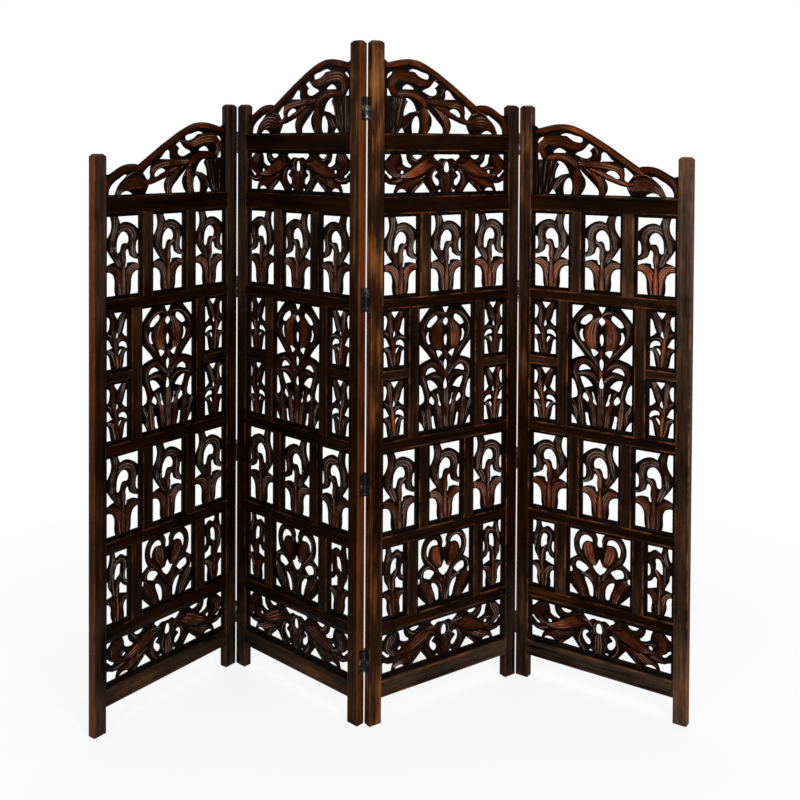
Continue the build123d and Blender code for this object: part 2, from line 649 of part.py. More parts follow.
def make_leaf(knuckles):
    """One hinge leaf. X points out of the stile's edge, Y out of its face, Z along the pin,
    and knuckles lists the places along the pin that this leaf's knuckles take, from -2 to 2."""
    plate_middle = leaf_proud - leaf_thickness / 2
    with BuildPart() as leaf:
        with BuildSketch(Plane.XY):
            with Locations((plate_middle, -leaf_depth / 2)):
                Rectangle(leaf_thickness, leaf_depth)
            with Locations((axis_from_edge, axis_from_face)):
                Circle(knuckle_radius + joint_clearance, mode=Mode.SUBTRACT)
        extrude(amount=leaf_height / 2, both=True)
        for place in knuckles:
            with BuildSketch(Plane.XY.offset(place * knuckle_pitch)):
                with Locations((plate_middle, (axis_from_face - knuckle_radius) / 2)):
                    Rectangle(leaf_thickness, axis_from_face + knuckle_radius)
                with Locations((axis_from_edge, axis_from_face)):
                    Circle(knuckle_radius)
            extrude(amount=(knuckle_pitch - knuckle_gap) / 2, both=True)
        with BuildSketch(Plane.XY):
            with Locations((axis_from_edge, axis_from_face)):
                Circle(pin_hole_radius)
        extrude(amount=leaf_height, both=True, mode=Mode.SUBTRACT)
        for place in screw_places(Plane.XY):
            with Locations(place):
                CounterSinkHole(screw_radius + screw_clearance,
                                screw_head_radius + screw_clearance,
                                counter_sink_angle=screw_head_angle)
    return leaf.part


def make_screw():
    """A countersunk wood screw, its head flush with Z = 0 and its point downwards."""
    head_depth = (screw_head_radius - screw_radius) / tan(radians(screw_head_angle / 2))
    tip = screw_radius
    with BuildPart() as screw:
        with BuildSketch(Plane.XZ):
            with BuildLine():
                Polyline((0, 0), (screw_head_radius, 0), (screw_radius, -head_depth),
                         (screw_radius, tip - screw_length), (0, -screw_length), close=True)
            make_face()
        revolve(axis=Axis.Z)
        with BuildSketch(Plane.XY):
            Rectangle(2 * screw_head_radius, screw_slot_width)
        extrude(amount=-screw_slot_depth, mode=Mode.SUBTRACT)
    return screw.part


def make_pin():
    """A hinge pin with a round head at the top, about the middle of the hinge."""
    with BuildPart() as pin:
        Cylinder(pin_radius, leaf_height)
        with Locations((0, 0, leaf_height / 2 + pin_head_height / 2)):
            Cylinder(pin_head_radius, pin_head_height)
        fillet(pin.faces().sort_by(Axis.Z)[-1].edges(), pin_head_height / 2)
    return pin.part


def make_copies(shape, places):
    with BuildPart() as group:
        with Locations(*places):
            add(shape)
    return group.part


three_knuckle_leaf = make_leaf((-2, 0, 2))
two_knuckle_leaf = make_leaf((-1, 1))
screw = make_screw()
pin = make_pin()


def leaf_planes(panel, tall_side, at_front, heights):
    return [panel.hinge_plane(tall_side, at_front, height) for height in heights]


def make_hinge_leaves(leaf_groups):
    """Leaves of one panel. leaf_groups lists (leaf, planes)."""
    with BuildPart() as leaves:
        for leaf, planes in leaf_groups:
            with Locations(*planes):
                add(leaf)
    return leaves.part


def make_hinges(panel, leaf_groups):
    save(make_hinge_leaves(leaf_groups), f"{panel.name}_hinge_leaves")
    places = [place for _, planes in leaf_groups for plane in planes
              for place in screw_places(plane)]
    save(make_copies(screw, places), f"{panel.name}_hinge_screws")


def pin_places(axis, heights):
    return [Location(axis + Vector(0, 0, height)) for height in heights]


# ---- the whole screen -----------------------------------------------------------------------------

os.makedirs("parts", exist_ok=True)

left_fold = (True, side_hinge_heights)       # knuckles at the front
centre_fold = (False, centre_hinge_heights)  # knuckles at the back
right_fold = (True, side_hinge_heights)

make_panel(left_outer, [left_fold], [], inner=False)
make_panel(left_inner, [centre_fold], [left_fold], inner=True)
make_panel(right_inner, [centre_fold], [right_fold], inner=True)
make_panel(right_outer, [right_fold], [], inner=False)

make_hinges(left_outer, [
    (three_knuckle_leaf, leaf_planes(left_outer, True, *left_fold))])
make_hinges(left_inner, [
    (two_knuckle_leaf, leaf_planes(left_inner, False, *left_fold)),
    (three_knuckle_leaf, leaf_planes(left_inner, True, *centre_fold))])
make_hinges(right_inner, [
    (two_knuckle_leaf, leaf_planes(right_inner, True, *centre_fold)),
    (two_knuckle_leaf, leaf_planes(right_inner, False, *right_fold))])
make_hinges(right_outer, [
    (three_knuckle_leaf, leaf_planes(right_outer, True, *right_fold))])

left_axis, centre_axis, right_axis = fold_axes
save(make_copies(pin, pin_places(left_axis, side_hinge_heights)
                 + pin_places(centre_axis, centre_hinge_heights)), "left_inner_hinge_pins")
save(make_copies(pin, pin_places(right_axis, side_hinge_heights)), "right_inner_hinge_pins")
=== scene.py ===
import math
import random

import bpy
import numpy as np
from mathutils import Matrix, Vector
from mathutils.geometry import delaunay_2d_cdt
from mathutils.kdtree import KDTree


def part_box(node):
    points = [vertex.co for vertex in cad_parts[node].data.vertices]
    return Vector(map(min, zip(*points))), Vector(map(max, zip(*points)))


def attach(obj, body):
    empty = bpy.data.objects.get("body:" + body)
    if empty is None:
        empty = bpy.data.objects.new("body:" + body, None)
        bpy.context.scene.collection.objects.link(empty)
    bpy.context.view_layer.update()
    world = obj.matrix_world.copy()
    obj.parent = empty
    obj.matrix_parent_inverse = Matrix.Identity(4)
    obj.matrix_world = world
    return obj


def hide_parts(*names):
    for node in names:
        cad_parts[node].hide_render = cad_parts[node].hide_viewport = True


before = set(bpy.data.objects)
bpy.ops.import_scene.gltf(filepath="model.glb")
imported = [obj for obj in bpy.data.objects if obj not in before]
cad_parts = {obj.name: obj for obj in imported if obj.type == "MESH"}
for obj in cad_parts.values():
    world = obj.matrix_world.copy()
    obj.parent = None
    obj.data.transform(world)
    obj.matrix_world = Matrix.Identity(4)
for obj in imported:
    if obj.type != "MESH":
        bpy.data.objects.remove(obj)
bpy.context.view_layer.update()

# Dressing for a folding screen of carved, pierced boards in dark stained frames.
# The frame members and the carved boards are remade here with worn arrises and crowned
# leaves. The hinges keep their solids and get a blackened steel finish.
# A panel is drawn flat, in millimetres: X from its tall edge to its short one, Y up, and
# Z out of its face. Blender gets metres, in the frame's own axes.

mm = 0.001

# ---- sizes, in millimetres ----

stile_width = 38.0
stile_chamfer = 7.0
board_half = 6.0               # half the thickness of a carved board
crest_half = 7.0
tongue = 5.8                   # how far a board's tongue goes into the frame
border = 9.0                   # plain border round a carving
frieze_margin = {130.0: 13.0, 124.0: 10.0}    # above and below a frieze's carving

arris_radius = 1.1             # on the long edges of frame members
crisp_radius = 0.4             # on the arrises along a fold, which stay crisp
arris_band = 6.0               # width of the worn band beside an arris
bar_step = 28.0                # between two rings of a frame member
lowest_rail_top = 115.0
hand_wobble = 0.14             # how far planed faces stray from true

edge_height = 2.3              # of the wood beside an opening, from the board's middle plane
ground_height = 3.0            # of the ground between the leaves
border_height = 3.6
leaf_top = 5.9
edge_round = 5.5               # how far the rounding reaches in from an opening
border_round = 1.3
groove_half = 0.95             # half the width of a carved line
line_step = 2.1                # between points along a carved line
field_step = 1.75              # between points on a leaf
chisel_wave = 0.28             # height of the tool marks left on the leaves
chisel_waves = 5               # how many waves make up the marks
leaf_lift = 0.2                # of a leaf's edge above the ground
crown_fall = 2.4               # how steeply a leaf's back falls away at its sides
vein_depth = 1.25
outline_depth = 0.7            # of the line cut round a leaf
border_cut = 0.9               # of the line cut inside the border
border_fall = 1.2              # of the border's rounded rim
frame_line_out = 1.0           # how far a board's mesh runs on under the frame
frame_line_step = 6.0
row_share = 0.87               # of that step, between two rows of points
overlap = 0.35                 # how far a leaf's lines run on under a later leaf
line_margin = 0.5              # of a carved line's points from the border
line_clearance = 0.55          # of the same from an opening
flank_margin = 0.9             # of the points that hold a line's slopes from the border
flank_clearance = 0.8          # of the same from an opening
ring_clearance = 0.6           # of the points along the border from an opening
leaf_margin = 1.2              # of a leaf's points from the border
leaf_clearance = 1.15          # of the same from any line
wave_pitch = (0.12, 0.35)      # of the marks, least and range, in radians per millimetre
stray_step = 0.4               # how fast a planed face strays from ring to ring
top_blend = 0.4                # between a post's chamfer and its flat top
same_place = 0.05              # two surfaces this near are one


# ---- panels ----

def middle_of(node):
    low, high = (Vector(corner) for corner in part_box(node))
    return (low + high) / 2


class Panel:
    """One panel's place, and the way from its flat drawing to the room and back."""

    def __init__(self, name):
        self.name = name
        tall, short = middle_of(f"{name}_tall_stile"), middle_of(f"{name}_short_stile")
        along = short - tall
        along.z = 0
        along.normalize()
        up = Vector((0, 0, 1))
        out = along.cross(up)
        start = tall - along * stile_width * mm / 2
        self.to_room = Matrix((
            (along.x * mm, up.x * mm, out.x * mm, start.x),
            (along.y * mm, up.y * mm, out.y * mm, start.y),
            (along.z * mm, up.z * mm, out.z * mm, 0),
            (0, 0, 0, 1)))
        self.from_room = self.to_room.inverted()

    def solids(self, node):
        """The separate solids of a node, each as (points on the drawing, triangles)."""
        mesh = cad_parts[f"{self.name}_{node}"].data
        mesh.calc_loop_triangles()
        points = np.empty(len(mesh.vertices) * 3)
        mesh.vertices.foreach_get("co", points)
        points = moved(points.reshape(-1, 3), self.from_room)
        corners = np.empty(len(mesh.loop_triangles) * 3, dtype=np.int64)
        mesh.loop_triangles.foreach_get("vertices", corners)
        _, first, welded = np.unique(np.round(points, 2), axis=0, return_index=True,
                                     return_inverse=True)
        points = points[first]
        triangles = welded.reshape(-1)[corners].reshape(-1, 3)
        island = np.arange(len(points))
        while True:
            lowest = island[triangles].min(axis=1)
            merged = island.copy()
            for column in range(3):
                np.minimum.at(merged, triangles[:, column], lowest)
            merged = merged[merged]
            if (merged == island).all():
                break
            island = merged
        found = []
        for number in np.unique(island[triangles[:, 0]]):
            own = np.flatnonzero(island == number)
            place = np.full(len(points), -1)
            place[own] = np.arange(len(own))
            found.append((points[own], place[triangles[island[triangles[:, 0]] == number]]))
        return found


def moved(points, matrix):
    """An array of points, put through a 4 x 4 matrix."""
    matrix = np.array(matrix)
    return points @ matrix[:3, :3].T + matrix[:3, 3]


def span(points):
    """The lowest and the highest corner of the box round the points."""
    return points.min(axis=0), points.max(axis=0)


def add_object(name, data):
    thing = bpy.data.objects.new(name, data)
    bpy.context.scene.collection.objects.link(thing)
    return thing


def add_piece(name, panel, points, faces, finishes, finish_of_face=None, values=None,
              sharp=None, replaces=()):
    """A mesh drawn on a panel, as a piece that rides with it. values are numbers or vectors
    for each point, by name; sharp lists pairs of points whose edge is not smoothed."""
    points = moved(np.asarray(points, dtype=float), panel.to_room)
    mesh = bpy.data.meshes.new(name)
    if isinstance(faces, np.ndarray):
        mesh.vertices.add(len(points))
        mesh.vertices.foreach_set("co", points.ravel())
        mesh.loops.add(faces.size)
        mesh.loops.foreach_set("vertex_index", faces.ravel().astype(np.int32))
        mesh.polygons.add(len(faces))
        mesh.polygons.foreach_set("loop_start", np.arange(0, faces.size, faces.shape[1],
                                                          dtype=np.int32))
        mesh.update(calc_edges=True)
    else:
        mesh.from_pydata([tuple(point) for point in points], [], faces)
    for finish in finishes:
        mesh.materials.append(finish)
    if finish_of_face is not None:
        mesh.polygons.foreach_set("material_index", np.asarray(finish_of_face, dtype=np.int32))
    mesh.polygons.foreach_set("use_smooth", np.ones(len(mesh.polygons), dtype=bool))
    for label, numbers in (values or {}).items():
        numbers = np.asarray(numbers, dtype=np.float32)
        if numbers.ndim == 1:
            mesh.attributes.new(label, "FLOAT", "POINT").data.foreach_set("value", numbers)
        else:
            mesh.attributes.new(label, "FLOAT_VECTOR", "POINT").data.foreach_set(
                "vector", numbers.ravel())
    if sharp is not None and len(sharp):
        wanted = np.sort(np.asarray(sharp), axis=1)
        wanted = set(map(tuple, wanted.tolist()))
        ends = np.empty(len(mesh.edges) * 2, dtype=np.int32)
        mesh.edges.foreach_get("vertices", ends)
        ends = np.sort(ends.reshape(-1, 2), axis=1)
        flags = np.fromiter((tuple(pair) in wanted for pair in ends.tolist()), dtype=bool,
                            count=len(ends))
        mesh.attributes.new("sharp_edge", "BOOLEAN", "EDGE").data.foreach_set("value", flags)
    mesh.validate()
    piece = add_object(name, mesh)
    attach(piece, panel.name)
    if replaces:
        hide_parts(*replaces)
    return piece


# ---- drawings of the carving ----
# A stroke is a leaf, stem or petal: points (x, y, width) along its middle, from its root to its
# tip, in millimetres from the lower left corner of the carving. A stroke covers those before it.
# veins are carved lines along it, at shares of its half width; low is how far below the top of a
# leaf its back stays; red is how much of the stain has been rubbed off its back.

def stroke(*points, veins=(0.0,), low=0.0, red=0.4):
    return {"points": points, "veins": veins, "low": low, "red": red}


def mirrored(strokes, width):
    return [{**one, "points": [(width - x, y, w) for x, y, w in one["points"]],
             "veins": [-vein for vein in one["veins"]]} for one in strokes]


sprig_size = (105.0, 208.0)
sprig = [
    stroke((62, 70, 18), (74, 96, 26), (85, 122, 30), (85, 150, 28), (71, 171, 27),
           (46, 179, 26), (24, 168, 27), (18, 142, 24), (22, 114, 22), (12, 98, 16),
           (-6, 92, 8), veins=(-0.35, 0.3), red=0.35),
    stroke((92, 118, 18), (89, 148, 22), (81, 174, 24), (79, 195, 25), (80, 214, 26),
           veins=(-0.3, 0.3), red=0.3),
    stroke((52, 55, 22), (50, 82, 24), (51, 108, 23), (46, 127, 15), (34, 134, 5),
           veins=(-0.25, 0.35), red=0.6),
    stroke((46, -8, 24), (44, 25, 30), (37, 52, 32), (21, 70, 27), (-8, 73, 18),
           veins=(-0.55, -0.1, 0.35), red=0.8),
    stroke((58, -8, 24), (61, 25, 30), (67, 50, 30), (83, 70, 27), (113, 73, 18),
           veins=(-0.35, 0.1, 0.55), red=0.85),
    stroke((52, -8, 17), (52, 30, 19), (52, 70, 12), (52, 84, 3), red=0.95),
]

narrow_size = (68.0, 185.0)
narrow_sprig = [
    stroke((46, 72, 13), (50, 98, 15), (50, 124, 17), (46, 148, 20), (33, 163, 21),
           (18, 164, 19), (9, 150, 15), (12, 130, 14), (15, 114, 14), (10, 101, 12),
           (-4, 92, 12)),
    stroke((58, 84, 8), (59, 110, 11), (56, 138, 15), (50, 164, 16), (49, 190, 17),
           veins=(-0.25, 0.35)),
    stroke((37, 58, 18), (36, 82, 16), (33, 102, 13), (26, 116, 8), (22, 124, 4), red=0.6),
    stroke((30, -5, 16), (27, 20, 22), (23, 42, 24), (12, 56, 19), (-4, 60, 12),
           veins=(-0.3, 0.3), red=0.7),
    stroke((38, -5, 16), (42, 25, 21), (48, 46, 21), (58, 59, 17), (72, 61, 11),
           veins=(-0.3, 0.3), red=0.7),
    stroke((34, -5, 10), (34, 30, 14), (36, 66, 6), red=0.8),
]

side_size = (68.0, 147.0)
side_sprig = [
    stroke((40, 60, 13), (30, 76, 14), (14, 78, 13), (-6, 73, 11)),
    stroke((42, 60, 13), (56, 86, 13), (70, 94, 10)),
    stroke((42, 62, 13), (47, 95, 18), (50, 125, 20), (52, 152, 20), veins=(-0.3, 0.3), red=0.55),
    stroke((40, 74, 10), (27, 106, 17), (17, 132, 18), (11, 152, 17), veins=(-0.3, 0.25), red=0.6),
    stroke((30, -5, 14), (28, 20, 21), (20, 40, 20), (6, 48, 14), (-4, 47, 9),
           veins=(-0.3, 0.3)),
    stroke((38, -5, 14), (44, 20, 20), (53, 42, 16), (70, 49, 9), veins=(-0.3, 0.3), red=0.6),
    stroke((34, -5, 10), (37, 36, 17), (41, 66, 14), (43, 84, 4), red=0.8),
]

flower_size = (178.0, 338.0)
flower_half = [
    stroke((86, 146, 18), (84, 162, 16), (74, 180, 17), (54, 205, 18), (30, 231, 18),
           (13, 257, 18), (12, 285, 17), (28, 309, 16), (52, 322, 16), (76, 321, 14),
           (90, 308, 10)),
    stroke((72, 205, 12), (60, 235, 46), (58, 262, 50), (66, 290, 36), (82, 308, 6),
           veins=(-0.5, -0.1, 0.3), red=0.95),
    stroke((84, 145, 10), (66, 168, 16), (42, 181, 20), (18, 171, 21), (11, 150, 18),
           (19, 122, 14), (27, 95, 14), (26, 66, 12)),
    stroke((84, 122, 12), (64, 143, 17), (42, 148, 17), (18, 143, 7)),
    stroke((10, -6, 12), (16, 34, 18), (2, 66, 14), veins=(-0.3, 0.3)),
    stroke((34, -6, 14), (31, 36, 24), (27, 74, 14), (26, 84, 6), veins=(-0.35, 0.35),
           red=0.55),
    stroke((72, -6, 20), (69, 32, 24), (60, 72, 22), (46, 100, 8), veins=(-0.3, 0.3),
           red=0.6),
]
flower_centre = [
    stroke((89, 112, 14), (89, 165, 18), (89, 205, 16), (89, 216, 6), red=0.8),
    stroke((89, -6, 18), (89, 52, 30), (89, 106, 26), veins=(-0.4, 0.0, 0.4), red=0.7),
]
flower = flower_half + mirrored(flower_half, flower_size[0]) + flower_centre

heart_size = (178.0, 185.0)
heart_half = [
    stroke((66, 74, 12), (50, 92, 15), (30, 104, 15), (12, 96, 13), (8, 76, 12),
           (15, 58, 10)),
    stroke((90, -6, 15), (85, 25, 15), (80, 50, 16), (66, 80, 17), (45, 106, 17),
           (26, 126, 16), (20, 148, 15), (26, 168, 15), (46, 181, 15), (66, 178, 15),
           (77, 166, 14), (78, 148, 8)),
    stroke((80, 92, 8), (66, 110, 32), (58, 130, 46), (56, 150, 40), (60, 164, 16),
           veins=(-0.45, 0.0, 0.4), red=0.9),
    stroke((45, -6, 20), (38, 24, 34), (24, 46, 36), (13, 62, 26), (8, 72, 10),
           veins=(-0.45, 0.0, 0.45), red=0.55),
    stroke((84, -6, 12), (80, 22, 16), (73, 46, 18), (60, 60, 18), (38, 66, 10)),
]
heart = heart_half + mirrored(heart_half, heart_size[0]) + [
    stroke((89, -6, 10), (89, 30, 16), (89, 66, 10)),
]

frieze_size = (414.0, 104.0)
frieze_half = [
    stroke((150, 97, 14), (128, 92, 15), (104, 86, 16), (88, 92, 14), (80, 104, 12)),
    stroke((40, 108, 20), (32, 94, 34), (22, 80, 40), (20, 64, 34), (32, 50, 24),
           (52, 44, 10), veins=(-0.4, 0.0, 0.4), red=0.45),
    stroke((-5, 37, 12), (14, 33, 13), (30, 30, 14), (52, 36, 18)),
    stroke((44, 66, 14), (58, 67, 12), (72, 64, 12), (92, 66, 14)),
    stroke((140, 54, 14), (120, 32, 22), (104, 16, 20), (86, -4, 14), veins=(-0.3, 0.3)),
    stroke((150, 66, 18), (124, 50, 30), (96, 34, 32), (66, 20, 26), (36, 12, 8),
           veins=(-0.4, 0.0, 0.4), red=0.85),
    stroke((174, 82, 14), (152, 80, 34), (126, 70, 46), (98, 56, 38), (76, 48, 26),
           (52, 44, 8), veins=(-0.45, 0.0, 0.45), red=1.0),
    stroke((164, 62, 12), (152, 44, 16), (150, 26, 18), (158, 10, 14), (172, -4, 12)),
    stroke((146, 88, 16), (166, 88, 20), (182, 82, 18), (190, 68, 13), (184, 56, 9)),
    stroke((198, -4, 8), (189, 18, 10), (185, 40, 10), (192, 56, 8)),
    stroke((207, 92, 9), (197, 84, 10), (193, 70, 10), (199, 54, 9)),
]
frieze = frieze_half + mirrored(frieze_half, frieze_size[0]) + [
    stroke((207, -5, 20), (207, 24, 34), (207, 54, 24), veins=(-0.5, 0.0, 0.5), red=0.5),
]

crest_size = (432.0, 203.0)
crest = [
    stroke((24, -5, 16), (24, 50, 17), (24, 104, 19), low=0.8, red=0.1),
    stroke((34, -5, 14), (38, 50, 16), (44, 104, 20), low=0.4, red=0.15),
    stroke((42, -5, 12), (50, 50, 17), (62, 102, 21), red=0.15),
    stroke((48, 5, 10), (62, 50, 14), (76, 94, 14), red=0.2),
    stroke((66, 14, 14), (80, 34, 28), (98, 52, 24), (116, 60, 10), veins=(-0.3, 0.3),
           red=0.3),
    stroke((150, 102, 10), (166, 100, 12), (186, 105, 15), (198, 115, 18), (199, 127, 16),
           (189, 139, 6)),
    stroke((284, 28, 12), (298, 28, 34), (318, 33, 50), (342, 34, 52), (368, 24, 44),
           (384, 4, 30), veins=(-0.5, -0.15, 0.2, 0.55), red=0.6),
    stroke((294, 52, 10), (318, 60, 12), (342, 60, 11), (360, 50, 8)),
    stroke((140, 90, 12), (140, 66, 30), (138, 40, 36), (138, 14, 30), (134, -6, 22),
           veins=(-0.4, 0.1, 0.5), red=0.75),
    stroke((160, 86, 16), (188, 64, 28), (208, 40, 28), (215, 14, 24), (212, -6, 20),
           veins=(-0.4, 0.05, 0.5), red=0.85),
    stroke((170, 82, 14), (198, 70, 18), (228, 55, 18), (258, 44, 15), (286, 35, 14),
           (304, 36, 12), red=0.8),
    stroke((128, 94, 12), (162, 90, 20), (200, 88, 24), (234, 83, 26), (262, 74, 24),
           (272, 60, 15), (271, 46, 6), veins=(-0.35, 0.25), red=0.95),
    stroke((22, 112, 10), (40, 107, 16), (62, 109, 22), (86, 109, 24), (108, 104, 24),
           (128, 92, 24), (140, 78, 16), red=0.75),
    stroke((178, 149, 3), (150, 140, 22), (125, 141, 28), (98, 151, 38), (70, 156, 42),
           (45, 155, 40), (30, 141, 36), (28, 125, 32), (36, 113, 24),
           veins=(-0.4, 0.0, 0.4), red=0.8),
    stroke((8, -6, 15), (8, 196, 15), veins=(), low=1.6, red=0.0),
    stroke((426, -4, 16), (424, 20, 17), (416, 40, 18), (400, 54, 19), (378, 66, 19),
           (352, 74, 19), (332, 74, 18), (312, 68, 14), veins=(), low=-0.9, red=0.75),
    stroke((12, 182, 14), (40, 187, 19), (65, 192, 19), (90, 194, 19), (113, 191, 19),
           (142, 181, 19), (177, 163, 19), (231, 130, 19), (300, 84, 19), (330, 64, 12),
           veins=(), low=-0.9, red=0.75),
]


# ---- carving ----

def smooth_run(points, step):
    """Points along a smooth curve through the given ones, about step apart."""
    points = np.array(points, dtype=float)
    padded = np.vstack([2 * points[0] - points[1], points, 2 * points[-1] - points[-2]])
    run = []
    for before, start, end, after in zip(padded, padded[1:], padded[2:], padded[3:]):
        count = max(2, round(math.dist(start[:2], end[:2]) / step))
        for t in np.arange(count) / count:
            run.append(0.5 * (2 * start + (end - before) * t
                              + (2 * before - 5 * start + 4 * end - after) * t ** 2
                              + (3 * start - before - 3 * end + after) * t ** 3))
    run.append(points[-1])
    return np.array(run)


class Leaf:
    """One stroke of the carving, ready to be measured from any point."""

    def __init__(self, drawn, scale):
        run = smooth_run([(x * scale[0], y * scale[1], w) for x, y, w in drawn["points"]],
                         line_step)
        self.middle, self.half = run[:, :2], np.maximum(run[:, 2] / 2, 1.0)
        ahead = np.gradient(self.middle, axis=0)
        ahead /= np.linalg.norm(ahead, axis=1)[:, None]
        self.across = np.column_stack([-ahead[:, 1], ahead[:, 0]])
        self.length = np.concatenate([[0], np.cumsum(np.hypot(*np.diff(self.middle, axis=0).T))])
        self.veins = drawn["veins"]
        self.top = leaf_top - drawn["low"]
        self.red = drawn["red"]

    def measure(self, points):
        """Distance from the stroke's middle, half width there, offset to its left, and how far
        along it, for each point."""
        nearest = np.full(len(points), 1e9)
        half, offset, along = np.ones(len(points)), np.zeros(len(points)), np.zeros(len(points))
        widest = self.half.max() + 0.5
        low, high = self.middle.min(axis=0) - widest, self.middle.max(axis=0) + widest
        near = np.flatnonzero(((points > low) & (points < high)).all(axis=1))
        some = points[near]
        for i in range(len(self.middle) - 1):
            start, end = self.middle[i], self.middle[i + 1]
            run = end - start
            share = np.clip((some - start) @ run / (run @ run), 0, 1)
            away = some - start - share[:, None] * run
            distance = np.hypot(away[:, 0], away[:, 1])
            closer = distance < nearest[near]
            chosen, share = near[closer], share[closer]
            nearest[chosen] = distance[closer]
            half[chosen] = self.half[i] + (self.half[i + 1] - self.half[i]) * share
            left = away[closer] @ (self.across[i] + self.across[i + 1])
            offset[chosen] = np.sign(left) * distance[closer]
            along[chosen] = self.length[i] + (self.length[i + 1] - self.length[i]) * share
        return nearest, half, offset, along

    def lines(self):
        """The lines that are carved for it: its two outlines, its end and its veins."""
        yield self.middle + self.across * self.half[:, None]
        yield self.middle - self.across * self.half[:, None]
        for vein in self.veins:
            yield self.middle + self.across * (self.half * vein)[:, None]

    def flanks(self):
        """Points that hold the slopes of the carved lines."""
        for share, sides in [(1, (-1,)), (-1, (1,))] + [(v, (-1, 1)) for v in self.veins]:
            for side in sides:
                yield (self.middle + self.across * (self.half * share)[:, None]
                       + side * groove_half * self.across)


def distance_to(points, segments, most=8.0):
    """Distance from each point to the nearest of some straight segments, up to the most."""
    order = np.argsort(points[:, 0])
    xs = points[order, 0]
    nearest = np.full(len(points), most)
    for start, end in segments:
        left, right = sorted((start[0], end[0]))
        first, last = np.searchsorted(xs, (left - most, right + most))
        near = order[first:last]
        run = end - start
        share = np.clip((points[near] - start) @ run / max(run @ run, 1e-9), 0, 1)
        away = points[near] - start - share[:, None] * run
        nearest[near] = np.minimum(nearest[near], np.hypot(away[:, 0], away[:, 1]))
    return nearest


def pierced_through(points, segments):
    """Whether each point lies in an opening, by counting crossings to its right."""
    crossings = np.zeros(len(points), dtype=int)
    for (x1, y1), (x2, y2) in segments:
        if y1 == y2:
            continue
        between = (points[:, 1] > min(y1, y2)) & (points[:, 1] <= max(y1, y2))
        x = x1 + (points[:, 1] - y1) * (x2 - x1) / (y2 - y1)
        crossings += between & (x > points[:, 0])
    return crossings % 2 == 1


def sides_of(low, high):
    """The four sides of an upright rectangle."""
    (x0, y0), (x1, y1) = low, high
    corners = np.array([(x0, y0), (x1, y0), (x1, y1), (x0, y1), (x0, y0)], dtype=float)
    return list(zip(corners, corners[1:]))


def finely(segments, step):
    """The same segments, the long ones cut into shorter ones."""
    short = []
    for start, end in segments:
        count = max(1, math.ceil(math.dist(start, end) / step))
        corners = [start + (end - start) * i / count for i in range(count + 1)]
        short += list(zip(corners, corners[1:]))
    return np.array(short)


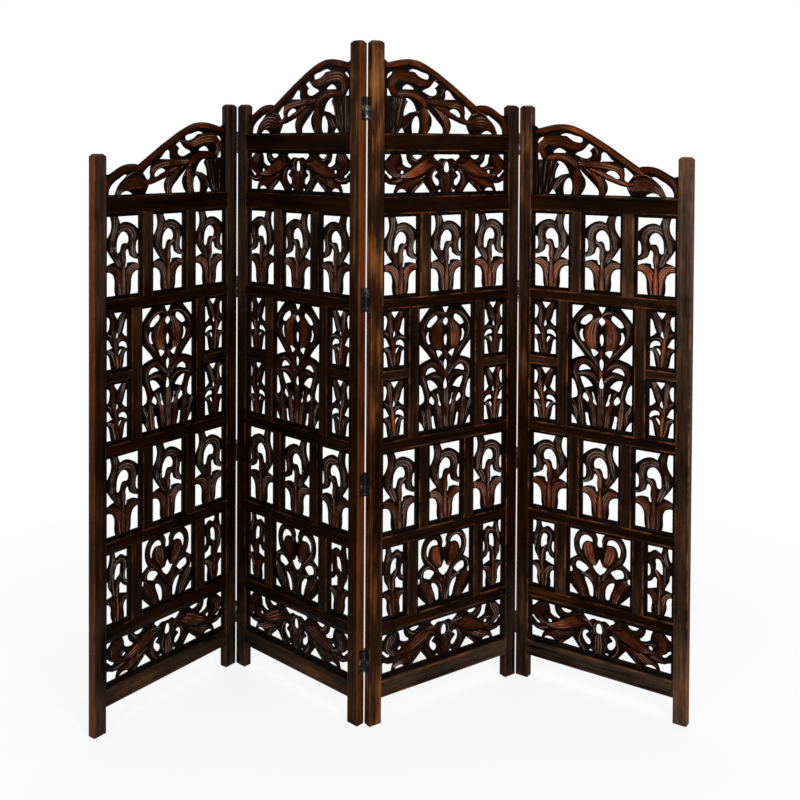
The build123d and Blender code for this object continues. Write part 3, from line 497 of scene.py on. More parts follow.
class Carving:
    """A kind of carved board: its flat outline comes from the solid, its relief from strokes."""

    def __init__(self, panel, node, number, strokes, drawn_size):
        points, triangles = sorted(panel.solids(node), key=lambda s: tuple(s[0].min(0)))[number]
        low, high = span(points)
        crest_board = node == "crest"
        self.half = crest_half if crest_board else board_half
        if crest_board:
            self.origin = np.array([low[0] + tongue, low[1] + tongue])
            self.size = np.array([high[0] - low[0] - 2 * tongue, high[1] - self.origin[1]])
            margin = np.zeros(2)
        else:
            self.origin = (low + high)[:2] / 2
            self.size = (high - low)[:2] - 2 * tongue
            upright = frieze_margin.get(round(self.size[1]), border)
            margin = np.array([border, upright])
        corner = self.origin - (0 if crest_board else self.size / 2)
        carved = self.size - 2 * margin
        segments = self.outline(points, triangles) - corner - margin
        self.shift = margin - (0 if crest_board else self.size / 2)
        window = (-margin, carved + margin)
        on_window = np.zeros(len(segments), dtype=bool)
        if not crest_board:
            for axis in (0, 1):
                for side in window:
                    on_window |= (abs(segments[:, :, axis] - side[axis]) < same_place).all(axis=1)
        self.openings = segments[~on_window]
        scale = carved / drawn_size
        self.leaves = [Leaf(drawn, scale) for drawn in strokes]
        self.carved, self.crest_board = carved, crest_board
        self.build(window)

    def outline(self, points, triangles):
        """Segments round the flat face of the solid."""
        flat = abs(points[triangles][:, :, 2] - self.half) < same_place
        face = triangles[flat.all(axis=1)]
        edges = np.sort(np.vstack([face[:, [0, 1]], face[:, [1, 2]], face[:, [2, 0]]]), axis=1)
        pairs, count = np.unique(edges, axis=0, return_counts=True)
        return points[pairs[count == 1]][:, :, :2]

    def covered(self, points, leaves):
        hidden = np.zeros(len(points), dtype=bool)
        for leaf in leaves:
            distance, half, *_ = leaf.measure(points)
            hidden |= distance < half - overlap
        return hidden

    def in_field(self, points, margin):
        return ((points > margin) & (points < self.carved - margin)).all(axis=1)

    def build(self, window):
        places, edges = [], []

        def put(points):
            first = sum(len(batch) for batch in places)
            places.append(points)
            return first

        openings = finely(self.openings, line_step)
        ends, where = np.unique(np.round(openings.reshape(-1, 2), 3), axis=0,
                                return_inverse=True)
        first = put(ends)
        edges += (where.reshape(-1, 2) + first).tolist()
        if not self.crest_board:
            reach = np.vstack([
                finely(sides_of(window[0] - frame_line_out, window[1] + frame_line_out),
                       frame_line_step),
                finely(sides_of((0, 0), self.carved), line_step)])
            first = put(reach.reshape(-1, 2))
            edges += [(first + 2 * i, first + 2 * i + 1) for i in range(len(reach))]
            for g in (groove_half, -groove_half):
                run = finely(sides_of((g, g), self.carved - g), line_step)[:, 0]
                keep = distance_to(run, self.openings) > ring_clearance
                put(run[keep])
        for number, leaf in enumerate(self.leaves):
            later = self.leaves[number + 1:]
            for line in leaf.lines():
                keep = (self.in_field(line, line_margin) & ~self.covered(line, later)
                        & (distance_to(line, self.openings) > line_clearance))
                index = put(line[keep]) + np.cumsum(keep) - 1
                both = keep[:-1] & keep[1:]
                edges += [(int(a), int(b)) for a, b in zip(index[:-1][both], index[1:][both])]
            for line in leaf.flanks():
                keep = (self.in_field(line, flank_margin) & ~self.covered(line, later)
                        & (distance_to(line, self.openings) > flank_clearance))
                put(line[keep])
        lines = np.vstack(places)
        if self.crest_board:
            low, high = span(self.openings.reshape(-1, 2))
        else:
            low, high = np.zeros(2), self.carved
        xs = np.arange(low[0], high[0], field_step)
        ys = np.arange(low[1], high[1], field_step * row_share)
        field = np.array([(x + (row % 2) * field_step / 2, y)
                          for row, y in enumerate(ys) for x in xs])
        if not self.crest_board:
            field = field[self.in_field(field, leaf_margin)]
        put(field[far_from(field, lines, leaf_clearance)])
        cloud = np.vstack(places)
        cloud, _, triangles, *_ = delaunay_2d_cdt([Vector(p) for p in cloud], edges, [], 0, 1e-5)
        cloud = np.array([tuple(p) for p in cloud])
        triangles = np.array(triangles)
        centres = cloud[triangles].mean(axis=1)
        gone = pierced_through(centres, self.openings)
        if self.crest_board:
            gone = ~gone
        triangles = triangles[~gone]
        used, compact = np.unique(triangles, return_inverse=True)
        self.points, self.triangles = cloud[used], compact.reshape(-1, 3)
        self.height = self.relief(self.points)
        turned = cross_z(self.points, self.triangles) < 0
        self.triangles[turned] = self.triangles[turned][:, ::-1]

    def relief(self, points):
        """Height of the wood at each point. It also notes each point's tone, how deep in a
        carved line it is, and its place in the run of its leaf."""
        height = np.full(len(points), ground_height)
        self.tone = np.full(len(points), 0.1)
        self.vein = np.zeros(len(points))
        self.run = np.column_stack([points, np.zeros(len(points))])
        chance = np.random.default_rng(3)
        for leaf in self.leaves:
            distance, half, offset, along = leaf.measure(points)
            inside = distance <= half + 0.03
            share = np.clip(distance / half, 0, 1)
            crown = leaf.top - (leaf.top - ground_height - leaf_lift) * share ** crown_fall
            line = np.zeros(len(points))
            for vein in leaf.veins:
                away = abs(offset - vein * half)
                line = np.maximum(line, np.clip(1 - away / groove_half, 0, 1))
            cut_round = np.clip(1 - (half - distance) / groove_half, 0, 1)
            crown -= vein_depth * line + outline_depth * cut_round
            height[inside] = crown[inside]
            self.tone[inside] = leaf.red + 0.25 * (chance.random() - 0.5)
            self.vein[inside] = line[inside]
            start = chance.random(3) * 400
            self.run[inside] = np.column_stack([offset, along, half])[inside] + start
        to_opening = distance_to(points, self.openings)
        reach = np.full(len(points), edge_round)
        rounded_from = np.full(len(points), edge_height)
        if not self.crest_board:
            outside = ~self.in_field(points, 0.02)
            beyond = ~self.in_field(points, -0.5)
            height[outside] = border_height - border_cut
            height[beyond] = border_height
            reach[outside] = border_round
            rounded_from[outside] = border_height - border_fall
            self.tone[outside] = 0.0
            self.vein[outside] = 0
        share = np.clip(to_opening / reach, 0, 1)
        rounding = rounded_from + (self.half - rounded_from) * np.sqrt(1 - (1 - share) ** 2)
        return np.minimum(height, rounding)

    def board(self, middle, flipped, seed, rubbed, dust):
        """Points, triangles, finishes and values of one board of this kind, both faces carved.
        middle is the board's place on the panel's drawing, rubbed how much of its stain has
        gone and the last argument how grey its leaves are, with dust and painted sheen."""
        noise = np.random.default_rng(seed)
        flat = self.points + self.shift
        wave = np.zeros(len(flat))
        for _ in range(chisel_waves):
            turn, pitch, start = noise.random(3) * (math.tau, wave_pitch[1], math.tau)
            pitch += wave_pitch[0]
            wave += np.sin(flat[:, 0] * math.cos(turn) * pitch
                           + flat[:, 1] * math.sin(turn) * pitch + start)
        height = self.height - chisel_wave * crown_of(self.height) * (0.5 + 0.2 * wave)
        if flipped:
            flat = flat * (-1, 1)
        count = len(flat)
        front = np.column_stack([flat + middle, height])
        back = np.column_stack([flat + middle, -height])
        faces = self.triangles[:, ::-1] if flipped else self.triangles
        rim = rim_of(faces)
        sides = np.vstack([np.column_stack([rim[:, 1], rim[:, 0], rim[:, 0] + count]),
                           np.column_stack([rim[:, 1], rim[:, 0] + count, rim[:, 1] + count])])
        points = np.vstack([front, back])
        triangles = np.vstack([faces, faces[:, ::-1] + count, sides])
        finish = np.concatenate([np.zeros(2 * len(faces)), np.ones(len(sides))])
        grain = np.tile(self.run, (2, 1)) * mm + noise.random(3) * 5
        tone = np.clip(self.tone * rubbed * (0.8 + 0.4 * noise.random()), 0, 1)
        return {"points": points, "faces": triangles, "finish": finish,
                "sharp": np.vstack([rim, rim + count]), "tone": np.tile(tone, 2),
                "crown": np.tile(crown_of(height), 2), "vein": np.tile(self.vein, 2),
                "grain": grain, "dust": np.full(2 * count, dust)}


def crown_of(height):
    """0 for wood as low as the edge of an opening, 1 for the highest leaf."""
    return np.clip((height - edge_height) / (leaf_top - edge_height), 0, 1)


def far_from(points, others, gap):
    """Which points have none of the others within the gap."""
    tree = KDTree(len(others))
    for index, (x, y) in enumerate(others.tolist()):
        tree.insert((x, y, 0), index)
    tree.balance()
    return np.array([tree.find((x, y, 0))[2] > gap for x, y in points.tolist()])


def cross_z(points, triangles):
    a, b, c = (points[triangles[:, i]] for i in range(3))
    return (b[:, 0] - a[:, 0]) * (c[:, 1] - a[:, 1]) - (b[:, 1] - a[:, 1]) * (c[:, 0] - a[:, 0])


def rim_of(triangles):
    """Edges that only one triangle has, in that triangle's order."""
    edges = np.vstack([triangles[:, [0, 1]], triangles[:, [1, 2]], triangles[:, [2, 0]]])
    _, place, count = np.unique(np.sort(edges, axis=1), axis=0, return_index=True,
                                return_counts=True)
    return edges[place[count == 1]]


def joined(parts):
    """Several boards, with an array of triangles, or frame members, with a list of faces of
    any number of corners, as one mesh."""
    firsts = [0, *np.cumsum([len(one["points"]) for one in parts]).tolist()]
    whole = {key: np.concatenate([one[key] for one in parts])
             for key in parts[0] if key not in ("faces", "sharp")}
    whole["sharp"] = np.vstack([np.add(one["sharp"], first) for one, first in zip(parts, firsts)])
    if isinstance(parts[0]["faces"], np.ndarray):
        whole["faces"] = np.vstack([one["faces"] + first for one, first in zip(parts, firsts)])
    else:
        whole["faces"] = [tuple(corner + first for corner in face)
                          for one, first in zip(parts, firsts) for face in one["faces"]]
    return whole


# ---- frame members ----
# The finish changes with the height above the floor, by the shares below. The tone, which also
# sets the painted highlights, is least between about 390 and 760 mm and most near the top; the
# wood is greyer, with dust and painted sheen, near the floor and near the top.

aged_heights = (0.0, 270.0, 390.0, 760.0, 960.0, 1350.0, 1800.0)
height_scales = (0.8, 0.7, 0.5, 0.5, 0.9, 1.1, 1.2)
height_greys = (0.50, 0.26, 0.0, 0.0, 0.05, 0.36, 0.40)
height_lifts = (0.10, 0.05, 0.0, 0.0, 0.0, 0.06, 0.08)


def section(across, thick, crisp_side):
    """A planed section's points and how near each is to an arris, counterclockwise."""
    points, edge = [], []
    for quarter, (sx, sy) in enumerate([(1, 1), (-1, 1), (-1, -1), (1, -1)]):
        radius = crisp_radius if sx == crisp_side else arris_radius
        cx, cy = sx * (across - radius), sy * (thick - radius)
        corner = []
        for turn in (0, 45, 90):
            angle = math.radians(90 * quarter + turn)
            corner.append((cx + radius * math.cos(angle), cy + radius * math.sin(angle)))
        back = math.radians(90 * quarter - 90)
        on = math.radians(90 * quarter + 180)
        before = (corner[0][0] + arris_band * math.cos(back),
                  corner[0][1] + arris_band * math.sin(back))
        after = (corner[2][0] + arris_band * math.cos(on),
                 corner[2][1] + arris_band * math.sin(on))
        points += [before, *corner, after]
        edge += [0.0, 0.7, 1.0, 0.7, 0.0]
    return np.array(points), np.array(edge)


def bar(low, high, upright, seed, top_chamfer=0.0, tone=0.5, bare_side=0, bare_share=0.0,
        crisp_side=0, wear=1.0, dust=0.0, aged=0.0):
    """A frame member between two corners of the panel's drawing, as points, faces, values.
    bare_side is the side that takes less stain, and crisp_side the one along a fold, each -1
    or 1 across the member, if any. aged is how much its finish changes with the height."""
    noise = np.random.default_rng(seed)
    low, high = np.array(low, dtype=float), np.array(high, dtype=float)
    length_axis, across_axis = (1, 0) if upright else (0, 1)
    middle, half = (low + high) / 2, (high - low) / 2
    outline, edge = section(half[across_axis], half[2], crisp_side)
    length = high[length_axis] - low[length_axis]
    stations = list(np.linspace(0, length - top_chamfer, max(2, round(length / bar_step))))
    inset = [0.0] * len(stations)
    if top_chamfer:
        stations += [length - top_blend, length]
        inset += [top_chamfer - 2 * top_blend, top_chamfer + top_blend]
    wobble = np.cumsum(noise.normal(0, stray_step, (len(stations), 2)), axis=0)
    wobble = hand_wobble * np.tanh(wobble - wobble.mean(axis=0))
    points, edges, grain = [], [], []
    offset = noise.random(3) * 5
    bare = bare_share * (outline[:, 0] * bare_side > half[across_axis] - 0.5 * arris_radius)
    for station, cut, stray in zip(stations, inset, wobble):
        ring = outline.copy()
        shrink = 1 - cut / np.array([half[across_axis], half[2]])
        ring = ring * shrink
        if not cut:
            strays = np.tile(abs(stray), (len(ring), 1))
            strays[ring[:, 0] * crisp_side > 0, 0] = 0
            ring -= np.sign(ring) * strays
        place = np.empty((len(ring), 3))
        place[:, across_axis] = middle[across_axis] + ring[:, 0]
        place[:, 2] = middle[2] + ring[:, 1]
        place[:, length_axis] = low[length_axis] + station
        points.append(place)
        edges.append(np.maximum(edge, 1.0 if cut else 0.0) * wear)
        grain.append(np.column_stack([ring[:, 0], np.full(len(ring), station), ring[:, 1]])
                     * mm + offset)
    count = len(outline)
    faces = []
    for i in range(len(stations) - 1):
        for j in range(count):
            k = (j + 1) % count
            faces.append((i * count + j, i * count + k, (i + 1) * count + k,
                          (i + 1) * count + j))
    faces.append(tuple(reversed(range(count))))
    faces.append(tuple(range((len(stations) - 1) * count, len(stations) * count)))
    if upright:
        faces = [tuple(reversed(face)) for face in faces]
    end_rings = [(i, (i + 1) % count) for i in range(count)]
    last = (len(stations) - 1) * count
    sharp = end_rings + [(last + a, last + b) for a, b in end_rings]
    points = np.vstack(points)
    height_scale, height_grey, height_lift = (np.interp(points[:, 1], aged_heights, shares)
                                for shares in (height_scales, height_greys, height_lifts))
    height_scale = 1 + aged * (height_scale - 1)
    bare = np.tile(bare, len(stations)) * (height_scale if crisp_side == 0 else 1.0)
    return {"points": points, "faces": faces, "sharp": sharp,
            "edge": np.concatenate(edges), "grain": np.vstack(grain), "bare": bare,
            "tone": tone * height_scale + aged * height_lift, "dust": dust * height_scale + aged * height_grey}


# ---- finishes ----

class Signal:
    """A number that varies over a surface, with Python's own operators."""

    def __init__(self, finish, socket):
        self.finish, self.socket = finish, socket

    def math(self, operation, *others, clamp=False):
        inputs = {0: self.socket}
        for place, other in enumerate(others, start=1):
            inputs[place] = other
        node = self.finish.node("ShaderNodeMath",
                                {"operation": operation, "use_clamp": clamp}, inputs)
        return Signal(self.finish, node.outputs[0])

    def __add__(self, other):
        return self.math("ADD", other)

    def __mul__(self, other):
        return self.math("MULTIPLY", other)

    def __sub__(self, other):
        return self.math("SUBTRACT", other)

    def __rsub__(self, other):
        return self.math("MULTIPLY", -1.0) + other

    __radd__ = __add__
    __rmul__ = __mul__

    def between(self, low, high):
        """0 below low, 1 above high, smooth between."""
        node = self.finish.node("ShaderNodeMapRange", {"interpolation_type": "SMOOTHSTEP"},
                                {0: self.socket, 1: low, 2: high})
        return Signal(self.finish, node.outputs[0])


class Nodes:
    """The nodes of a material or of the world."""

    def __init__(self, tree):
        self.tree = tree

    def node(self, kind, settings=None, inputs=None):
        node = self.tree.nodes.new(kind)
        for name, value in (settings or {}).items():
            setattr(node, name, value)
        for key, value in (inputs or {}).items():
            self.feed(node.inputs[key], value)
        return node

    def feed(self, socket, value):
        if isinstance(value, Signal):
            value = value.socket
        if isinstance(value, bpy.types.NodeSocket):
            self.tree.links.new(value, socket)
        else:
            socket.default_value = value

    def seen(self):
        """1 where the camera sees it, directly or in or through something, and 0 for light."""
        rays = self.node("ShaderNodeLightPath").outputs
        return Signal(self, rays["Is Camera Ray"]).math("MAXIMUM", rays["Is Glossy Ray"]).math(
            "MAXIMUM", rays["Is Transmission Ray"])


class Finish(Nodes):
    """A material and its nodes."""

    def __init__(self, name):
        self.material = bpy.data.materials.new(name)
        self.material.use_nodes = True
        super().__init__(self.material.node_tree)
        self.shader = self.tree.nodes["Principled BSDF"]

    def set(self, **inputs):
        for name, value in inputs.items():
            self.feed(self.shader.inputs[name.replace("_", " ").title().replace("Ior", "IOR")],
                      value)

    def number(self, name):
        """A number that the mesh carries for each point."""
        return Signal(self, self.node("ShaderNodeAttribute", {"attribute_name": name})
                      .outputs["Fac"])

    def grain(self, *stretch):
        """Places in the wood, in metres, stretched."""
        places = self.node("ShaderNodeAttribute", {"attribute_name": "grain"})
        return self.node("ShaderNodeVectorMath", {"operation": "MULTIPLY"},
                         {0: places.outputs["Vector"], 1: stretch}).outputs[0]

    def noise(self, vector, scale=1.0, detail=3.0, roughness=0.55):
        node = self.node("ShaderNodeTexNoise", {}, {
            "Vector": vector, "Scale": scale, "Detail": detail, "Roughness": roughness})
        return Signal(self, node.outputs["Fac"])

    def mix(self, amount, first, second):
        node = self.node("ShaderNodeMix", {"data_type": "RGBA"},
                         {0: amount, 6: first, 7: second})
        return node.outputs[2]

    def bump(self, height, strength, distance):
        return self.node("ShaderNodeBump", {}, {
            "Height": height, "Strength": strength, "Distance": distance}).outputs["Normal"]


def shade(red, green, blue):
    return (red, green, blue, 1.0)


char_brown = shade(0.0014, 0.0004, 0.0001)
deep_brown = shade(0.0075, 0.0023, 0.0006)
warm_brown = shade(0.054, 0.0172, 0.0046)
# Amber of wood rubbed through, also used for painted highlights.
amber_wear_and_highlight = shade(0.28, 0.100, 0.027)
bare_red = shade(0.15, 0.036, 0.008)
dull_brown = shade(0.052, 0.034, 0.0235)
leaf_dark = shade(0.0036, 0.0010, 0.0003)
leaf_red = shade(0.058, 0.0106, 0.0016)
leaf_bright = shade(0.25, 0.046, 0.0062)
leaf_grey = shade(0.068, 0.043, 0.031)
# Pale colour of painted highlights in the carved lines.
painted_vein_highlight = shade(0.42, 0.34, 0.29)


def planed_wood():
    """Stained frame wood, rubbed through along its arrises, with painted amber highlights in
    streaky patches and a grey of dust and painted sheen.
    """
    wood = Finish("planed_wood")
    edge, bare = wood.number("edge"), wood.number("bare")
    tone, dust = wood.number("tone"), wood.number("dust")
    streaks = wood.noise(wood.grain(85, 3.2, 85), detail=5.0, roughness=0.62)
    bands = wood.noise(wood.grain(30, 1.6, 30), detail=2.0)
    cloud = wood.noise(wood.grain(11, 5, 11), detail=3.0)
    pores = wood.noise(wood.grain(520, 22, 520), detail=2.0)
    scuffs = wood.noise(wood.grain(60, 40, 60), detail=4.0, roughness=0.7)
    body = streaks * 0.5 + bands * 0.3 + cloud * 0.35
    colour = wood.mix(body.between(0.40, 0.62), char_brown, deep_brown)
    rubbed = (body + tone * 0.24).between(0.54, 0.90) * (tone * 0.85 + 0.15)
    rubbed = rubbed * (cloud.between(0.42, 0.56) * 0.55 + 0.45)
    colour = wood.mix(rubbed, colour, warm_brown)
    # Grey of dust and painted sheen.
    colour = wood.mix(dust * (streaks * 0.5 + cloud * 0.5).between(0.34, 0.58), colour, dull_brown)
    # Painted highlight: streaky amber glints, more where the tone is high.
    painted_highlight = (streaks * 0.55 + cloud * 0.6 + tone * 0.14).between(0.67, 0.82) * tone
    colour = wood.mix(painted_highlight * 0.7, colour, amber_wear_and_highlight)
    red = bare * (streaks * 0.7 + cloud * 0.8).between(0.35, 1.05)
    colour = wood.mix(red, colour, bare_red)
    places = wood.noise(wood.grain(34, 13, 34), detail=4.0, roughness=0.65)
    worn = edge.between(0.2, 0.9) * (places + scuffs * 0.3).between(0.60, 0.80)
    colour = wood.mix(worn * 0.6, colour, amber_wear_and_highlight)
    colour = wood.mix(pores.between(0.54, 0.64) * 0.5, colour, char_brown)
    relief = streaks * 0.5 + pores * 0.3 + scuffs * 0.35
    wood.set(base_color=colour, roughness=0.33 + scuffs * 0.22,
             coat_weight=(scuffs * 0.5 + bands * 0.5).between(0.48, 0.66) * 0.04 + edge * 0.12,
             normal=wood.bump(relief, 0.6, 0.0008))
    finish_gloss(wood, 0.018)
    return wood.material


def finish_gloss(wood, level):
    """A thin brown polish over the stain."""
    wood.shader.inputs["Specular IOR Level"].default_value = level
    wood.shader.inputs["Specular Tint"].default_value = shade(1.0, 0.6, 0.34)
    wood.shader.inputs["Coat Roughness"].default_value = 0.2


def carved_wood():
    """Carved leaves: painted shade in the cuts, redder where the backs have been rubbed, with pale
    painted highlights along some carved lines and a grey of dust and painted sheen.
    """
    wood = Finish("carved_wood")
    crown, tone = wood.number("crown"), wood.number("tone")
    vein, dust = wood.number("vein"), wood.number("dust")
    streaks = wood.noise(wood.grain(210, 16, 60), detail=4.0, roughness=0.6)
    cloud = wood.noise(wood.grain(22, 22, 22), detail=2.0)
    patch = wood.noise(wood.grain(9, 9, 9), detail=2.0)
    marks = wood.noise(wood.grain(420, 260, 420), detail=3.0, roughness=0.7)
    # Painted shade: the wood is darkest where it lies low, in the carved lines, on the ground
    # between the leaves and on the rounded edges of the openings.
    colour = wood.mix(crown.between(0.1, 0.6), char_brown, leaf_dark)
    red = crown.between(0.5, 1.0) * (tone * 0.95 + cloud * 0.6 + streaks * 0.5 - 0.53)
    colour = wood.mix(red.math("ADD", 0.0, clamp=True), colour, leaf_red)
    # Grey of dust and painted sheen on the backs of the leaves.
    dull = crown.between(0.45, 0.9) * dust * (cloud * 0.5 + streaks * 0.5).between(0.36, 0.6)
    colour = wood.mix(dull, colour, leaf_grey)
    bright = (patch * 0.6 + streaks * 0.4 + tone * 0.35).between(0.68, 0.92)
    colour = wood.mix(bright * crown.between(0.6, 1.0) * 0.8, colour, leaf_bright)
    # Painted highlight: pale glints along some carved lines.
    vein_glint = vein.between(0.3, 0.85) * (cloud * 0.5 + patch * 0.6 + dust * 0.08).between(0.52, 0.66)
    colour = wood.mix(vein_glint * 0.8, colour, painted_vein_highlight)
    relief = marks * 0.45 + streaks * 0.6
    wood.set(base_color=colour, roughness=0.26 + marks * 0.25,
             coat_weight=(streaks * 0.6 + cloud * 0.4).between(0.48, 0.62) * 0.13,
             normal=wood.bump(relief, 0.6, 0.0007))
    finish_gloss(wood, 0.03)
    return wood.material


def sawn_wood():
    """The sides of the openings, stained thinly over the saw's marks."""
    wood = Finish("sawn_wood")
    kerf = wood.noise(wood.grain(300, 300, 900), detail=2.0)
    cloud = wood.noise(wood.grain(30, 30, 30), detail=2.0)
    colour = wood.mix(cloud.between(0.4, 0.7), char_brown, warm_brown)
    wood.set(base_color=colour, roughness=0.6 + kerf * 0.2, normal=wood.bump(kerf, 0.4, 0.0004))
    wood.shader.inputs["Specular IOR Level"].default_value = 0.1
    return wood.material


def black_steel(name, dark, bright, wear):
    """Blackened steel, rubbed bright in places; the bright patches also stand in for painted
    highlights.
    """
    steel = Finish(name)
    places = steel.node("ShaderNodeTexCoord").outputs["Object"]
    scuffs = steel.noise(places, scale=180.0, detail=4.0, roughness=0.7)
    cloud = steel.noise(places, scale=40.0, detail=2.0)
    rubbed = (scuffs * 0.6 + cloud * 0.5).between(0.62 - wear, 0.8 - wear)
    steel.set(base_color=steel.mix(rubbed, dark, bright), roughness=0.34 + scuffs * 0.25,
              normal=steel.bump(scuffs, 0.25, 0.0003), metallic=1.0)
    return steel.material


def pale_floor():
    """White paper that keeps a shadow near the screen and fades into the background."""
    paper = Finish("pale_floor")
    paper.set(base_color=shade(0.92, 0.92, 0.92), roughness=0.9)
    paper.shader.inputs["Specular IOR Level"].default_value = 0.1
    places = paper.node("ShaderNodeNewGeometry").outputs["Position"]
    away = Signal(paper, paper.node("ShaderNodeVectorMath", {"operation": "LENGTH"},
                                    {0: places}).outputs["Value"])
    bare = paper.node("ShaderNodeEmission", {}, {"Strength": 1.0})
    shadow_share = away.between(0.9, 2.2) * -0.18 + 0.18
    faded = paper.seen() * (1 - shadow_share)
    mixed = paper.node("ShaderNodeMixShader", {}, {
        0: faded, 1: paper.shader.outputs[0], 2: bare.outputs[0]})
    paper.feed(paper.tree.nodes["Material Output"].inputs["Surface"], mixed.outputs[0])
    return paper.material


planed = planed_wood()
carved = carved_wood()
sawn = sawn_wood()
# Bright steel for rubbed places and painted highlights.
steel_wear_and_highlight = shade(0.5, 0.49, 0.46)
hinge_steel = black_steel("hinge_steel", shade(0.03, 0.028, 0.026), steel_wear_and_highlight, 0.05)
screw_steel = black_steel("screw_steel", shade(0.09, 0.088, 0.084), steel_wear_and_highlight, 0.08)

# ---- pieces ----

panels = {name: Panel(name) for name in ("left_outer", "left_inner", "right_inner",
                                         "right_outer")}
pattern = panels["left_outer"]
inner_pattern = panels["left_inner"]

lower_sprig = Carving(pattern, "lower_sprigs", 0, sprig, sprig_size)
kinds = {
    "lower_sprigs": lower_sprig,
    "upper_sprigs": lower_sprig,
    "side_sprigs": Carving(pattern, "side_sprigs", 2, side_sprig, side_size),
    "narrow_sprigs": Carving(pattern, "narrow_sprigs", 1, narrow_sprig, narrow_size),
    "flower": Carving(pattern, "flower", 0, flower, flower_size),
    "heart": Carving(pattern, "heart", 0, heart, heart_size),
    "bottom_frieze": Carving(pattern, "bottom_frieze", 0, frieze, frieze_size),
    "top_frieze": Carving(inner_pattern, "top_frieze", 0, frieze, frieze_size),
    "crest": Carving(pattern, "crest", 0, crest, crest_size),
}


def add_bars(panel, node, bars):
    whole = joined(bars)
    add_piece(f"{panel.name}_{node}_wood", panel, whole["points"], whole["faces"], [planed],
              values={key: whole[key] for key in ("edge", "bare", "tone", "dust", "grain")},
              sharp=whole["sharp"], replaces=[f"{panel.name}_{node}"])


def dress_stile(panel, node, seed):
    points = panel.solids(node)[0][0]
    low, high = span(points)
    tone, bare, dust = stile_stain[f"{panel.name}_{node}"]
    side = -1 if node == "tall_stile" else 1
    free = node == "short_stile" and "outer" in panel.name
    add_bars(panel, node, [bar(low, high, True, seed, stile_chamfer, tone, side, bare,
                               0 if free else side, panel_wear[panel.name], dust,
                               middle_stile_aged if f"{panel.name}_{node}" in middle_stiles
                               else 1.0)])


def dress_bars(panel, node, seed):
    """Rails or mullions, less the tongues that their neighbours hide."""
    bars = []
    low_x, high_x = stile_width, panel_width - stile_width
    tones = random.Random(seed)
    for number, (points, _) in enumerate(panel.solids(node)):
        low, high = span(points)
        size = high - low
        upright = size[1] > size[0]
        if node == "rails":
            low[0], high[0] = low_x, high_x
        else:
            axis = 1 if upright else 0
            low[axis] += tongue
            high[axis] -= tongue
        wear = panel_wear[panel.name]
        least, most, dust, aged = bar_stain[node]
        tone = tones.uniform(least, most)
        if high[1] < lowest_rail_top:
            tone, dust = lowest_rail_stain
        bars.append(bar(low, high, upright, seed + number, tone=tone * wear, wear=wear,
                        dust=dust * wear ** 2, aged=aged))
    add_bars(panel, node, bars)


def dust_and_sheen_of(panel, node):
    """How grey a board's leaves are, with dust and painted sheen: greyest high on the right-hand
    panels.
    """
    most = {"upper_sprigs": 1.0, "flower": 0.2, "side_sprigs": 0.35, "lower_sprigs": 0.45,
            "heart": 0.2, "narrow_sprigs": 0.25}.get(node, 0.05)
    return most * panel_wear[panel.name] ** 1.5


def dress_boards(panel, node, seed):
    boards = []
    inner = "inner" in panel.name
    for number, (points, _) in enumerate(panel.solids(node)):
        low, high = span(points)
        middle = (low + high)[:2] / 2
        if node in ("lower_sprigs", "upper_sprigs"):
            flipped = inner
        else:
            flipped = node in ("side_sprigs", "narrow_sprigs") and middle[0] < panel_width / 2
        if node == "crest":
            middle = low[:2] + tongue
        boards.append(kinds[node].board(middle, flipped, seed + number,
                                        panel_wear[panel.name] * board_wear.get(node, 1.0),
                                        dust_and_sheen_of(panel, node)))
    whole = joined(boards)
    add_piece(f"{panel.name}_{node}_carving", panel, whole["points"], whole["faces"],
              [carved, sawn], whole["finish"],
              values={key: whole[key] for key in ("crown", "tone", "vein", "dust", "grain")},
              sharp=whole["sharp"], replaces=[f"{panel.name}_{node}"])


panel_width = pattern.solids("short_stile")[0][0][:, 0].max()
# How much of its stain each panel has lost, and some of its boards against the others.
panel_wear = {"left_outer": 0.62, "left_inner": 0.58, "right_inner": 0.88, "right_outer": 1.0}
board_wear = {"crest": 0.88, "flower": 0.8, "heart": 0.8, "bottom_frieze": 0.7,
              "narrow_sprigs": 0.8, "side_sprigs": 0.85, "lower_sprigs": 0.85}
# For rails and mullions: the least and most that one is rubbed, which also sets its painted
# highlights, how grey it is, with dust and painted sheen, and how much its finish changes with the
# height. The lowest rail is rubbed and grey by its own two.
bar_stain = {"rails": (0.02, 0.2, 0.0, 0.0), "mullions": (0.15, 0.5, 0.15, 0.5)}
lowest_rail_stain = (0.4, 0.8)
middle_stiles = ("left_inner_tall_stile", "right_inner_tall_stile")
middle_stile_aged = 0.45       # the changes with the height count for less on them
# How far each stile is rubbed, which also sets its painted highlights, how little stain its outer
# side took and how grey it is, with dust and painted sheen.
stile_stain = {
    "left_outer_tall_stile": (0.2, 0.3, 0.0), "left_outer_short_stile": (0.36, 0.8, 0.1),
    "left_inner_tall_stile": (0.40, 0.8, 0.0), "left_inner_short_stile": (0.15, 0.2, 0.0),
    "right_inner_tall_stile": (0.78, 0.15, 0.0), "right_inner_short_stile": (0.1, 0.3, 0.0),
    "right_outer_tall_stile": (0.48, 0.3, 0.0), "right_outer_short_stile": (0.42, 0.7, 0.5),
}

for order, panel in enumerate(panels.values()):
    seed = 1000 * (order + 1)
    dress_stile(panel, "tall_stile", seed + 1)
    dress_stile(panel, "short_stile", seed + 2)
    dress_bars(panel, "rails", seed + 10)
    dress_bars(panel, "mullions", seed + 30)
    for place, node in enumerate(kinds):
        if f"{panel.name}_{node}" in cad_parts:
            dress_boards(panel, node, seed + 100 + 10 * place)

for name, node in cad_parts.items():
    if "_hinge_" in name:
        node.data.materials.clear()
        node.data.materials.append(screw_steel if name.endswith("screws") else hinge_steel)

# ---- floor, light and camera ----

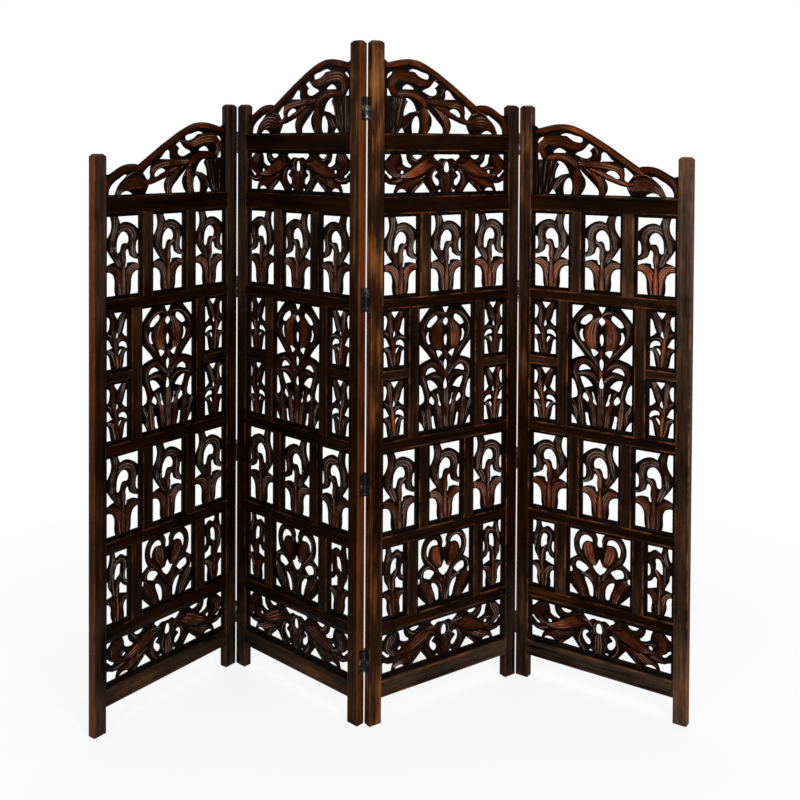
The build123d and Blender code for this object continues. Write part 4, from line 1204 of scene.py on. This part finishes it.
floor_mesh = bpy.data.meshes.new("floor")
floor_mesh.from_pydata([(-20, -20, 0), (20, -20, 0), (20, 20, 0), (-20, 20, 0)], [],
                       [(0, 1, 2, 3)])
floor_mesh.materials.append(pale_floor())
floor = add_object("floor", floor_mesh)


def add_softbox(name, place, aim, width, height, power):
    light = bpy.data.lights.new(name, "AREA")
    light.shape = "RECTANGLE"
    light.size, light.size_y, light.energy = width, height, power
    lamp = add_object(name, light)
    lamp.location = place
    lamp.rotation_euler = (Vector(aim) - Vector(place)).to_track_quat("-Z", "Y").to_euler()


screen_middle = (0, 0, 0.9)
add_softbox("key_light", (1.5, -3.3, 2.4), screen_middle, 0.5, 1.1, 80)
add_softbox("fill_light", (-1.8, -3.2, 2.0), screen_middle, 0.5, 1.1, 48)
add_softbox("top_light", (0.2, 0.9, 4.0), screen_middle, 2.0, 1.4, 45)

# The camera sees white surroundings. As light on the screen they are dimmer.
sky_light = 0.45
world = bpy.data.worlds.new("studio")
bpy.context.scene.world = world
world.use_nodes = True
sky = Nodes(world.node_tree)
background = sky.tree.nodes["Background"].inputs
background["Color"].default_value = (1, 1, 1, 1)
sky.feed(background["Strength"], sky.seen() * (1.0 - sky_light) + sky_light)

bpy.context.scene.view_settings.view_transform = "Standard"

camera_data = bpy.data.cameras.new("camera")
camera_data.sensor_width = 36.0
camera_data.lens = 46.81
camera_data.shift_y = -0.28875
camera = add_object("camera", camera_data)
camera_turn, camera_tilt, camera_roll = 0.00973, -0.01856, 0.00582     # radians
camera_place = (-0.01672, -2.90472, 1.54187)
ahead = Vector((math.sin(camera_turn) * math.cos(camera_tilt),
                math.cos(camera_turn) * math.cos(camera_tilt), math.sin(camera_tilt)))
level_right = Vector((math.cos(camera_turn), -math.sin(camera_turn), 0))
level_up = level_right.cross(ahead)
right = level_right * math.cos(camera_roll) + level_up * math.sin(camera_roll)
up = level_up * math.cos(camera_roll) - level_right * math.sin(camera_roll)
camera.matrix_world = Matrix((
    (right.x, up.x, -ahead.x, camera_place[0]),
    (right.y, up.y, -ahead.y, camera_place[1]),
    (right.z, up.z, -ahead.z, camera_place[2]),
    (0, 0, 0, 1)))
bpy.context.scene.camera = camera
